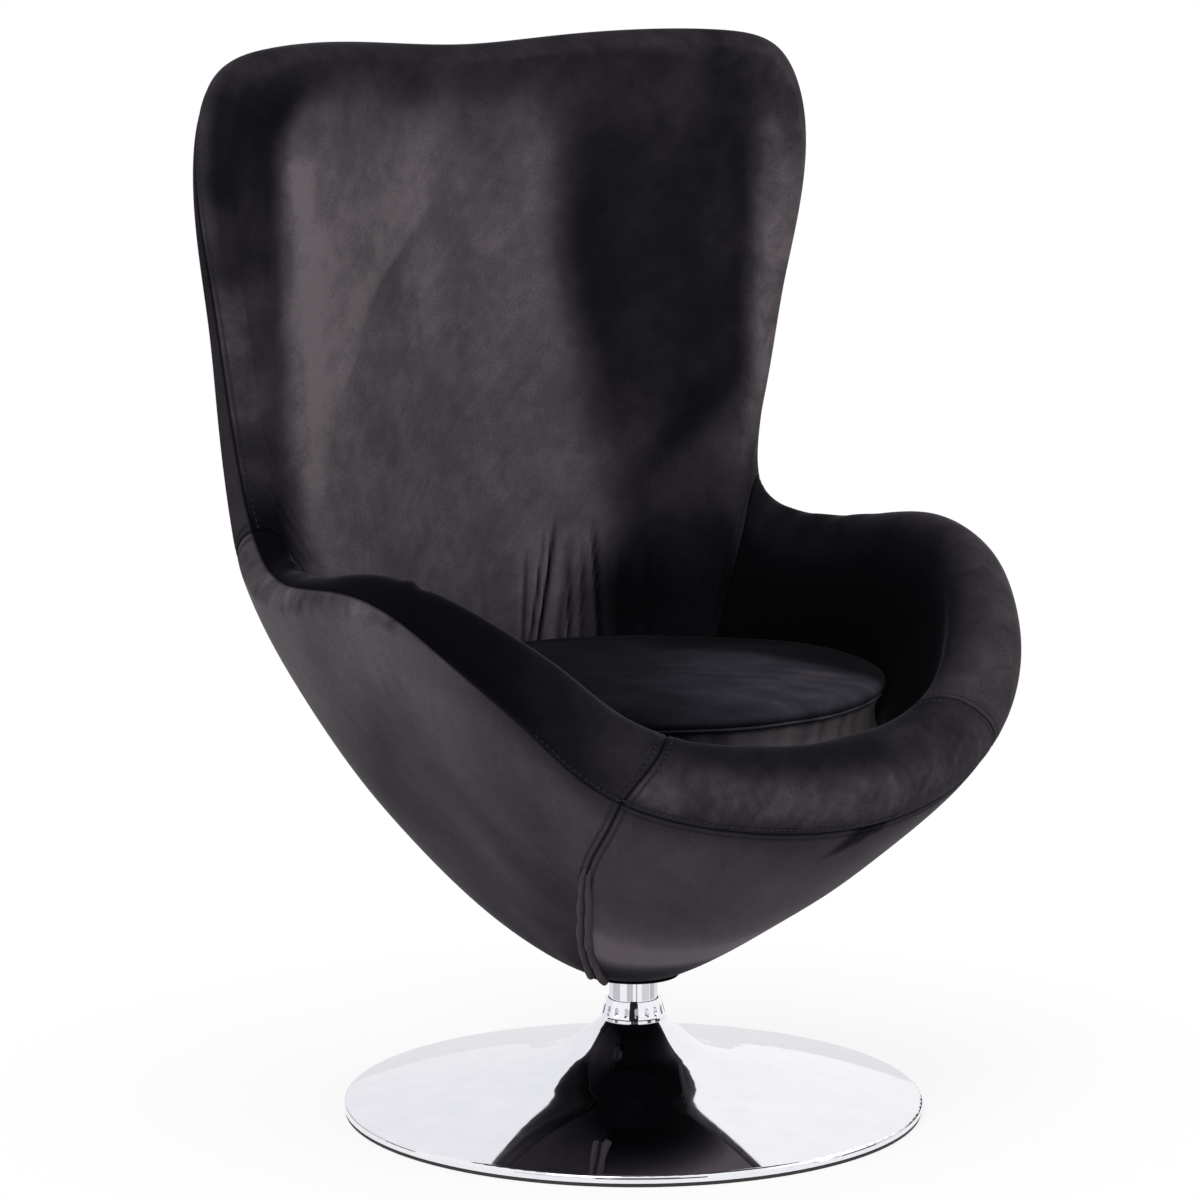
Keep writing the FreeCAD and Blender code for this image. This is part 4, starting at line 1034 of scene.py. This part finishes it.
def filled(piece, start, held, cap):
    """Swell a cover with its filling: cloth under pressure, its points let out no further than a cap."""
    group = piece.vertex_groups.new(name="sewn")
    group.add(np.flatnonzero(held).tolist(), 1.0, "REPLACE")
    cloth = piece.modifiers.new("filling", "CLOTH")
    settings = cloth.settings
    settings.quality = 6
    settings.mass = 0.3
    settings.tension_stiffness = settings.compression_stiffness = 18.0
    settings.shear_stiffness = 6.0
    settings.bending_stiffness = 0.8
    settings.vertex_group_mass = group.name
    settings.use_pressure = True
    settings.uniform_pressure_force = 4.0
    settings.effector_weights.gravity = 0.0
    cloth.point_cache.frame_start = 1
    cloth.point_cache.frame_end = SIM_FRAMES
    scene = bpy.context.scene
    for step in range(1, SIM_FRAMES + 1):
        scene.frame_set(step)
    whole = piece.evaluated_get(bpy.context.evaluated_depsgraph_get())
    swollen = np.empty(start.size, np.float32)
    whole.data.vertices.foreach_get("co", swollen)
    move = swollen.reshape(-1, 3) - start
    length = np.linalg.norm(move, axis=1)
    piece.modifiers.remove(cloth)
    piece.vertex_groups.remove(group)
    scene.frame_set(1)
    return start + move * np.minimum(1, cap / np.maximum(length, 1e-9))[:, None]


def as_seen(x, y):
    """Lengths to the right and away from the camera, for level places."""
    right_x, right_y = SEEN_RIGHT
    return right_x * x + right_y * y, right_x * y - right_y * x


def cushion_nap_and_light(x, y):
    """Pile and painted light on the cushion's top: lit at the front on the sitter's left, with streaks."""
    across, deep = as_seen(x, y)
    dull = 0.12 + 0.07 * (1 - ease(across, -0.05, 0.04))
    bright = blend(dull, 0.50, ease(across, -0.08, 0.14)) * (1 - 0.25 * ease(-deep, 0.15, 0.23))
    edge = np.minimum(0.13, 0.12 - 0.75 * (across - 0.01))
    reach = blend(0.06, 0.028, ease(across, 0.0, 0.15))
    nap_and_shading = blend(bright, dull, ease(deep, edge - reach, edge + reach))
    return nap_and_shading * (1 + 0.08 * waves(0.4 * across, deep, 31, 42.0) + 0.08 * waves(across, deep, 32, 14.0))


def cushion():
    """Cover of the round box cushion: its half section turned about Z, filled, and rippled at its side."""
    profile, panel = cushion_profile()
    radius, height = profile.T
    points, faces, number = turned_pad(
        radius, height, CUSHION_TURNS, CUSHION_CROWN - CROWN_SLACK, CUSHION_BOTTOM
    )
    panel = np.concatenate((np.tile(panel, CUSHION_TURNS), (TOP, UNDERSIDE)))
    on_top, on_side, held = panel == TOP, panel == BOXING, panel == UNDERSIDE
    upper, lower = (np.argmin(np.abs(height - level)) for level in (UPPER_SEAM, LOWER_SEAM))
    held[number[:, [upper, lower]]] = True
    x, y, z = points.T
    points = points + CUSHION_CENTRE
    turn, away = np.arctan2(y, x), np.hypot(x, y)
    across, deep = as_seen(x, y)
    ripple = np.sin(47 * turn + 1.3 * np.sin(5 * turn)) + 0.7 * np.sin(89 * turn + 2 * np.sin(3 * turn))
    # Boxing darker towards the left as seen, with painted light and shade on its ripples
    side_nap_and_shade = blend(0.40, 0.96, ease(across, 0.02, 0.15)) * (1 + 0.12 * ripple)
    nap_and_shading = np.where(on_top, cushion_nap_and_light(x, y), np.where(on_side, side_nap_and_shade, 0.30))
    run = run_lengths(profile)
    off_seam = np.concatenate((np.tile(np.abs(run - run[upper]), CUSHION_TURNS), (1, 1)))
    # Painted shade beside the upper seam
    nap_and_shading = nap_and_shading * (1 - SEAM_SHADE * bump(off_seam, SEAM_SHADOW))
    uv = np.where(on_top[:, None], np.stack((x, y), axis=-1), np.stack((turn * CUSHION_RADIUS, z), axis=-1))
    values = {"nap_and_shading": nap_and_shading, "crush": np.where(on_top, 0.70, 0.60)}
    piece = new_piece(
        "velvet_cushion", points, faces, "cushion", "velvet", CUSHION_VELVET, uv, sharp=80.0, **values
    )
    middle = 1 - ease(away / CUSHION_RADIUS, 0.5, 0.9)
    points = filled(piece, points, held, np.where(on_top, TOP_RISE * middle, SIDE_RISE))
    level = (points[:, 2] - LOWER_SEAM) / (UPPER_SEAM - LOWER_SEAM)
    gathered = np.where(on_side, BOXING_RIPPLE * ripple * np.sin(math.pi * np.clip(level, 0, 1)) ** 0.5, 0)
    creased = TOP_CREASE * waves(x, y, 33, 8.0) * (1 - ease(away, 0.19, 0.235))
    sunk = SEAT_DENT * ease(deep, -0.05, 0.20) * (1 - ease(across, 0.05, 0.20))
    lift = np.where(on_top, creased - sunk * (points[:, 2] - UPPER_SEAM), 0)
    out = unit((points - CUSHION_CENTRE) * (1, 1, 0) + 1e-9)
    points = points + out * gathered[:, None] + np.array((0, 0, 1)) * lift[:, None]
    piece.data.vertices.foreach_set("co", np.ascontiguousarray(points, dtype=np.float32).ravel())
    piece.data.update()
    finer = piece.modifiers.new("finer", "SUBSURF")
    finer.levels = finer.render_levels = 1
    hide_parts("cushion_top", "cushion_boxing", "cushion_underside")


PIPING_LOW, PIPING_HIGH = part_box("cushion_piping")
WELT_RADIUS = 0.60 * (PIPING_HIGH[2] - PIPING_LOW[2]) / 2
WELT_RING = CUSHION_RADIUS + 0.0007  # the welt is half sunk between the two panels
PIPING_TURNS, PIPING_SIDES = 420, 12


def piping():
    """Corded welt on the cushion's upper seam: a circle carried round a ring that rises and falls."""
    angle, turn = full_turn(PIPING_TURNS)[:, None], full_turn(PIPING_SIDES)
    thick = WELT_RADIUS * (1 + 0.05 * np.sin(120 * angle) + 0.05 * np.sin(31 * angle + 1))
    height = UPPER_SEAM + thick * np.sin(turn) + 0.0004 * np.sin(11 * angle + np.sin(4 * angle))
    points = turned(WELT_RING + thick * np.cos(turn), height, angle).reshape(-1, 3)
    number = np.arange(PIPING_TURNS * PIPING_SIDES).reshape(PIPING_TURNS, PIPING_SIDES)
    faces = grid_faces(number, True, True)
    # Painted light on the welt's upper half and painted shade on its lower half
    nap_and_shading = cushion_nap_and_light(points[:, 0], points[:, 1]) * np.tile(1.1 + 0.5 * np.sin(turn), PIPING_TURNS)
    values = {"nap_and_shading": nap_and_shading, "crush": np.full(len(nap_and_shading), 0.5)}
    points = points + CUSHION_CENTRE
    piece = new_piece("cushion_welt", points, faces, "cushion", "velvet", CUSHION_VELVET, **values)
    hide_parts("cushion_piping")


cushion()
piping()

ZIP_LOW, ZIP_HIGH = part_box("cushion_zip")
ZIP_WIDTH = ZIP_HIGH[2] - ZIP_LOW[2]
ZIP_HALF_ANGLE = math.radians(32.0)
ZIP_START, ZIP_END = math.pi / 2 - ZIP_HALF_ANGLE, math.pi / 2 + ZIP_HALF_ANGLE
ZIP_TAPE = 0.0012
ZIP_LEVEL = (UPPER_SEAM + LOWER_SEAM) / 2
ZIP_HALF_SIDE = (UPPER_SEAM - LOWER_SEAM) / 2
ZIP_WAIST = 0.006              # the boxing's waist that the tape lies in
ZIP_BOW = (ZIP_HALF_SIDE ** 2 + ZIP_WAIST ** 2) / (2 * ZIP_WAIST)
ZIP_FACE = CUSHION_RADIUS - ZIP_WAIST + ZIP_TAPE
TOOTH_PITCH = 0.0026
TOOTH_LENGTH, TOOTH_RADIUS = 0.0050, 0.0008


def zip_tape():
    """Zip tape at the back of the boxing: a hollow arc and the same arc one tape thicker, turned about Z."""
    there = math.asin(ZIP_WIDTH / 2 / ZIP_BOW) * np.linspace(-1, 1, 11)
    swing = np.concatenate((there, there[::-1]))
    bow = np.repeat((ZIP_BOW - ZIP_TAPE, ZIP_BOW), len(there))
    radius = CUSHION_RADIUS - ZIP_WAIST + ZIP_BOW - bow * np.cos(swing)
    points = turned(radius, ZIP_LEVEL + bow * np.sin(swing), np.linspace(ZIP_START, ZIP_END, 90)[:, None])
    number = np.arange(points[..., 0].size).reshape(points.shape[:2])
    half = len(there)
    ends = [grid_faces(np.stack((number[row, :half], number[row, :half - 1:-1]))) for row in (0, -1)]
    faces = np.concatenate((grid_faces(number, close_columns=True), *ends))
    piece = new_piece("zip_tape", points.reshape(-1, 3) + CUSHION_CENTRE, faces, "cushion", "lining", THREAD)
    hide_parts("cushion_zip")


def zip_teeth():
    """Teeth along the middle of the zip tape: upright capsules at even steps of its arc."""
    steps = np.arange(ZIP_START + 0.01, ZIP_END - 0.01, TOOTH_PITCH / CUSHION_RADIUS)
    out = np.stack((np.cos(steps), np.sin(steps), 0 * steps), axis=-1)
    teeth = out * (ZIP_FACE + 0.0001) + (0, 0, ZIP_LEVEL) + CUSHION_CENTRE
    upright = np.broadcast_to((0.0, 0.0, 1.0), out.shape)
    points, faces = capsules(teeth, upright, out, TOOTH_LENGTH, TOOTH_RADIUS)
    slot = "black_plastic"
    new_piece("zip_teeth", points, faces, "cushion", slot, SLOT_FINISHES[slot])


def deck_lining():
    """Woven lining over the seat foam: a disc of rings between two levels, pulled flat."""
    low, high = (np.array(corner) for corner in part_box("deck_cloth"))
    reach = (high[0] - low[0]) / 2
    share = np.linspace(0, 1, 40)[1:]
    radius = np.concatenate((share, share[::-1])) * reach
    height = np.repeat((high[2], low[2]), len(share))
    points, faces, _ = turned_pad(radius, height, 96, high[2], low[2])
    points = points + (low + high) / 2 * (1, 1, 0)
    piece = new_piece("seat_deck_lining", points, faces, "seat", "lining", SLOT_FINISHES["lining"])
    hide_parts("deck_cloth")


def chrome_finish():
    """Polished chrome plate: a bright metal, with a breath of haze and a few faint wiping marks."""
    finish, tree, shader = new_finish("polished_chrome")
    spot = add(tree, "ShaderNodeTexCoord")
    haze = noise(tree, spot.outputs["Object"], 30.0, 3.0)
    gloss = ramp(tree, haze, ((0.35, 0.028), (0.75, 0.055)))
    tree.links.new(gloss.outputs["Color"], shader.inputs["Roughness"])
    set_sockets(shader, Metallic=1.0)
    shade = ramp(tree, haze, ((0.3, (0.84, 0.84, 0.89)), (0.7, (0.89, 0.89, 0.93))))
    tree.links.new(shade.outputs["Color"], shader.inputs["Base Color"])
    return finish


def plain_finish(name, dark, light, scale, rough, metal=0.0, dent=0.1, gloss=0.5):
    """A part's finish between two shades by noise, with a fine grain in its relief."""
    finish, tree, shader = new_finish(name)
    spot = add(tree, "ShaderNodeTexCoord")
    grain = noise(tree, spot.outputs["Object"], scale, 3.0)
    colour = ramp(tree, grain, ((0.3, dark), (0.7, light)))
    tree.links.new(colour.outputs["Color"], shader.inputs["Base Color"])
    relief = add(tree, "ShaderNodeBump", {"Height": grain, "Strength": dent, "Distance": 0.0004})
    tree.links.new(relief.outputs["Normal"], shader.inputs["Normal"])
    set_sockets(shader, Roughness=rough, Metallic=metal, Specular_IOR_Level=gloss)
    return finish


SLOT_FINISHES = {
    "chrome": chrome_finish(),
    "rubber": plain_finish("black_rubber", (0.012, 0.012, 0.013), (0.022, 0.022, 0.023), 500.0, 0.75),
    "plate_steel": plain_finish("primed_steel", (0.03, 0.03, 0.033), (0.05, 0.05, 0.054), 300.0, 0.55, 0.3),
    "bright_steel": plain_finish(
        "zinc_plated_steel", (0.50, 0.50, 0.52), (0.62, 0.62, 0.64), 240.0, 0.3, 1.0
    ),
    "nylon": plain_finish("natural_nylon", (0.72, 0.70, 0.64), (0.80, 0.78, 0.72), 200.0, 0.5),
    "black_plastic": plain_finish(
        "moulded_black", (0.002, 0.002, 0.003), (0.004, 0.004, 0.005), 900.0, 0.8, gloss=0.0
    ),
    "shell_plastic": plain_finish("moulded_shell", (0.010, 0.010, 0.011), (0.016, 0.016, 0.017), 120.0, 0.6),
    "foam": plain_finish(
        "charcoal_foam", (0.012, 0.012, 0.014), (0.030, 0.029, 0.032), 700.0, 0.95, dent=0.5
    ),
    "lining": plain_finish(
        "woven_lining", (0.008, 0.008, 0.009), (0.016, 0.016, 0.018), 1200.0, 0.9, dent=0.4
    ),
    "velvet": VELVET,
}
for part in frame["record"]["subparts"]:
    slots = NODES[part["node"]].data.materials
    slots.clear()
    slots.append(SLOT_FINISHES[part["material_slot"]])
zip_tape()
zip_teeth()
deck_lining()

FLOOR_REACH = 120.0
SHADOW_REACH = 0.75            # distance from the column at which the floor has faded to plain white


def flat_card(name, corners, finish):
    """A flat four-cornered piece of the studio."""
    mesh = bpy.data.meshes.new(name)
    mesh.from_pydata(corners, [], [(0, 1, 2, 3)])
    mesh.materials.append(finish)
    card = bpy.data.objects.new(name, mesh)
    bpy.context.scene.collection.objects.link(card)
    return card


def shown_rays(tree):
    """1 for the camera's rays and for those that metal or glass sends on, 0 for rays that carry light."""
    path = add(tree, "ShaderNodeLightPath")
    seen = path.outputs["Is Camera Ray"]
    for kind in ("Is Glossy Ray", "Is Transmission Ray"):
        seen = math_node(tree, "MAXIMUM", seen, path.outputs[kind])
    return seen


def studio():
    """Pale floor and white surround that show white to the camera and in metal. The floor keeps a shadow."""
    finish, tree, shader = new_finish("pale_floor")
    set_sockets(shader, Base_Color=(0.93, 0.93, 0.93, 1), Roughness=0.9, Specular_IOR_Level=0.0)
    seen = shown_rays(tree)
    spot = add(tree, "ShaderNodeTexCoord")
    away = add(tree, "ShaderNodeVectorMath", {0: spot.outputs["Object"]}, operation="LENGTH").outputs["Value"]
    fade = ramp(tree, math_node(tree, "DIVIDE", away, SHADOW_REACH), ((0.35, 0.74), (1.0, 1.0)))
    glow = add(tree, "ShaderNodeEmission", {"Color": (1, 1, 1, 1), "Strength": 1.0})
    share = math_node(tree, "MULTIPLY", seen, fade.outputs["Color"])
    both = add(tree, "ShaderNodeMixShader", {0: share, 1: shader.outputs[0], 2: glow.outputs[0]})
    tree.links.new(both.outputs[0], tree.nodes["Material Output"].inputs["Surface"])
    corners = [(x * FLOOR_REACH, y * FLOOR_REACH, 0) for x, y in ((-1, -1), (1, -1), (1, 1), (-1, 1))]
    flat_card("studio_floor", corners, finish)
    world = bpy.data.worlds.new("white_surround")
    world.use_nodes = True
    sky = world.node_tree
    sky.nodes.clear()
    seen = shown_rays(sky)
    lit = add(sky, "ShaderNodeBackground", {"Color": (1, 1, 1, 1), "Strength": 0.8})
    white = add(sky, "ShaderNodeBackground", {"Color": (1, 1, 1, 1), "Strength": 1.0})
    mixed = add(sky, "ShaderNodeMixShader", {0: seen, 1: lit.outputs[0], 2: white.outputs[0]})
    output = add(sky, "ShaderNodeOutputWorld")
    sky.links.new(mixed.outputs[0], output.inputs["Surface"])
    bpy.context.scene.world = world


def softbox(name, place, aim, size, power):
    """Square area lamp that faces a point."""
    lamp = bpy.data.lights.new(name, "AREA")
    lamp.size = size
    lamp.energy = power
    box = bpy.data.objects.new(name, lamp)
    box.location = place
    way = np.array(aim) - np.array(place)
    flat = math.hypot(way[0], way[1])
    box.rotation_euler = (math.atan2(flat, -way[2]), 0, math.atan2(way[1], way[0]) - math.pi / 2)
    bpy.context.scene.collection.objects.link(box)


CAMERA_YAW = math.radians(-36.5)
CAMERA_DISTANCE = 5.0
CAMERA_HEIGHT = 1.391
CAMERA_PITCH = math.radians(9.74)
CAMERA_PAN = 0.0069
CAMERA_LENS = 149.04
CAMERA_SENSOR = 36.0
FLAG_DISTANCE = 6.0
FLAG_LEFT, FLAG_RIGHT = 1.5, 2.0
FLAG_HEIGHT = 3.0


def camera():
    """Long lens at the photograph's height, turn and tilt, with the column a little right of the middle."""
    lens = bpy.data.cameras.new("camera")
    lens.lens = CAMERA_LENS
    lens.sensor_width = CAMERA_SENSOR
    lens.clip_end = 400.0
    eye = bpy.data.objects.new("camera", lens)
    eye.location = (*(CAMERA_DISTANCE * compass(np.array(CAMERA_YAW)))[:2], CAMERA_HEIGHT)
    eye.rotation_euler = (math.pi / 2 - CAMERA_PITCH, 0, CAMERA_YAW + CAMERA_PAN)
    bpy.context.scene.collection.objects.link(eye)
    bpy.context.scene.camera = eye


def chrome_card(name, corners, finish):
    """A card that only the chrome sees."""
    card = flat_card(name, [tuple(map(float, corner)) for corner in corners], finish)
    card.visible_camera = card.visible_diffuse = card.visible_shadow = False


def black_flag():
    """Black cloth hung behind the photographer."""
    cloth = plain_finish("black_flag_cloth", (0.002, 0.002, 0.003), (0.005, 0.005, 0.006), 40.0, 0.95)
    middle = FLAG_DISTANCE * compass(np.array(CAMERA_YAW))
    across = compass(np.array(CAMERA_YAW + math.pi / 2))
    left, right = middle - FLAG_LEFT * across, middle + FLAG_RIGHT * across
    top = np.array((0.0, 0.0, FLAG_HEIGHT))
    chrome_card("black_flag", (left, right, right + top, left + top), cloth)


BOARDS = (
    # heading from the camera in degrees, half its spread, distance, height, tone
    (-89.0, 24.0, 0.42, 0.045, 0.58),
    (-16.0, 14.0, 0.42, 0.045, 0.58),
    (15.0, 3.0, 0.42, 0.045, 0.45),
    (60.0, 20.0, 0.42, 0.045, 0.70),
    (104.0, 20.0, 0.42, 0.045, 0.55),
    (4.0, 12.0, 0.345, 0.022, 0.06),
    (56.0, 7.0, 0.345, 0.022, 0.10),
    (92.0, 12.0, 0.345, 0.022, 0.06),
    (-60.0, 6.0, 0.345, 0.022, 0.20),
    (132.0, 24.0, 0.42, 0.042, 0.82),
    (180.0, 24.0, 0.42, 0.042, 0.82),
    (228.0, 24.0, 0.42, 0.042, 0.82),
    (-135.0, 45.0, 1.5, 1.2, 0.90),
)


def boards():
    """Grey and black boards that stand on the floor round the chair."""
    for number, (heading, spread, away, height, tone) in enumerate(BOARDS):
        name = "board_%d" % number
        finish, tree, _ = new_finish(name)
        glow = add(tree, "ShaderNodeEmission", {"Color": (tone, tone, 1.02 * tone, 1), "Strength": 1.0})
        tree.links.new(glow.outputs[0], tree.nodes["Material Output"].inputs["Surface"])
        low = away * compass(CAMERA_YAW + np.radians((heading - spread, heading + spread)))
        high = low + (0, 0, height)
        chrome_card(name, (low[0], low[1], high[1], high[0]), finish)


studio()
boards()
softbox("key_softbox", (-2.6, -1.6, 2.6), (0, 0, 0.6), 1.6, 60)
softbox("fill_softbox", (2.4, -2.4, 2.2), (0, 0, 0.6), 2.0, 30)
camera()
black_flag()
bpy.context.scene.view_settings.view_transform = "Standard"
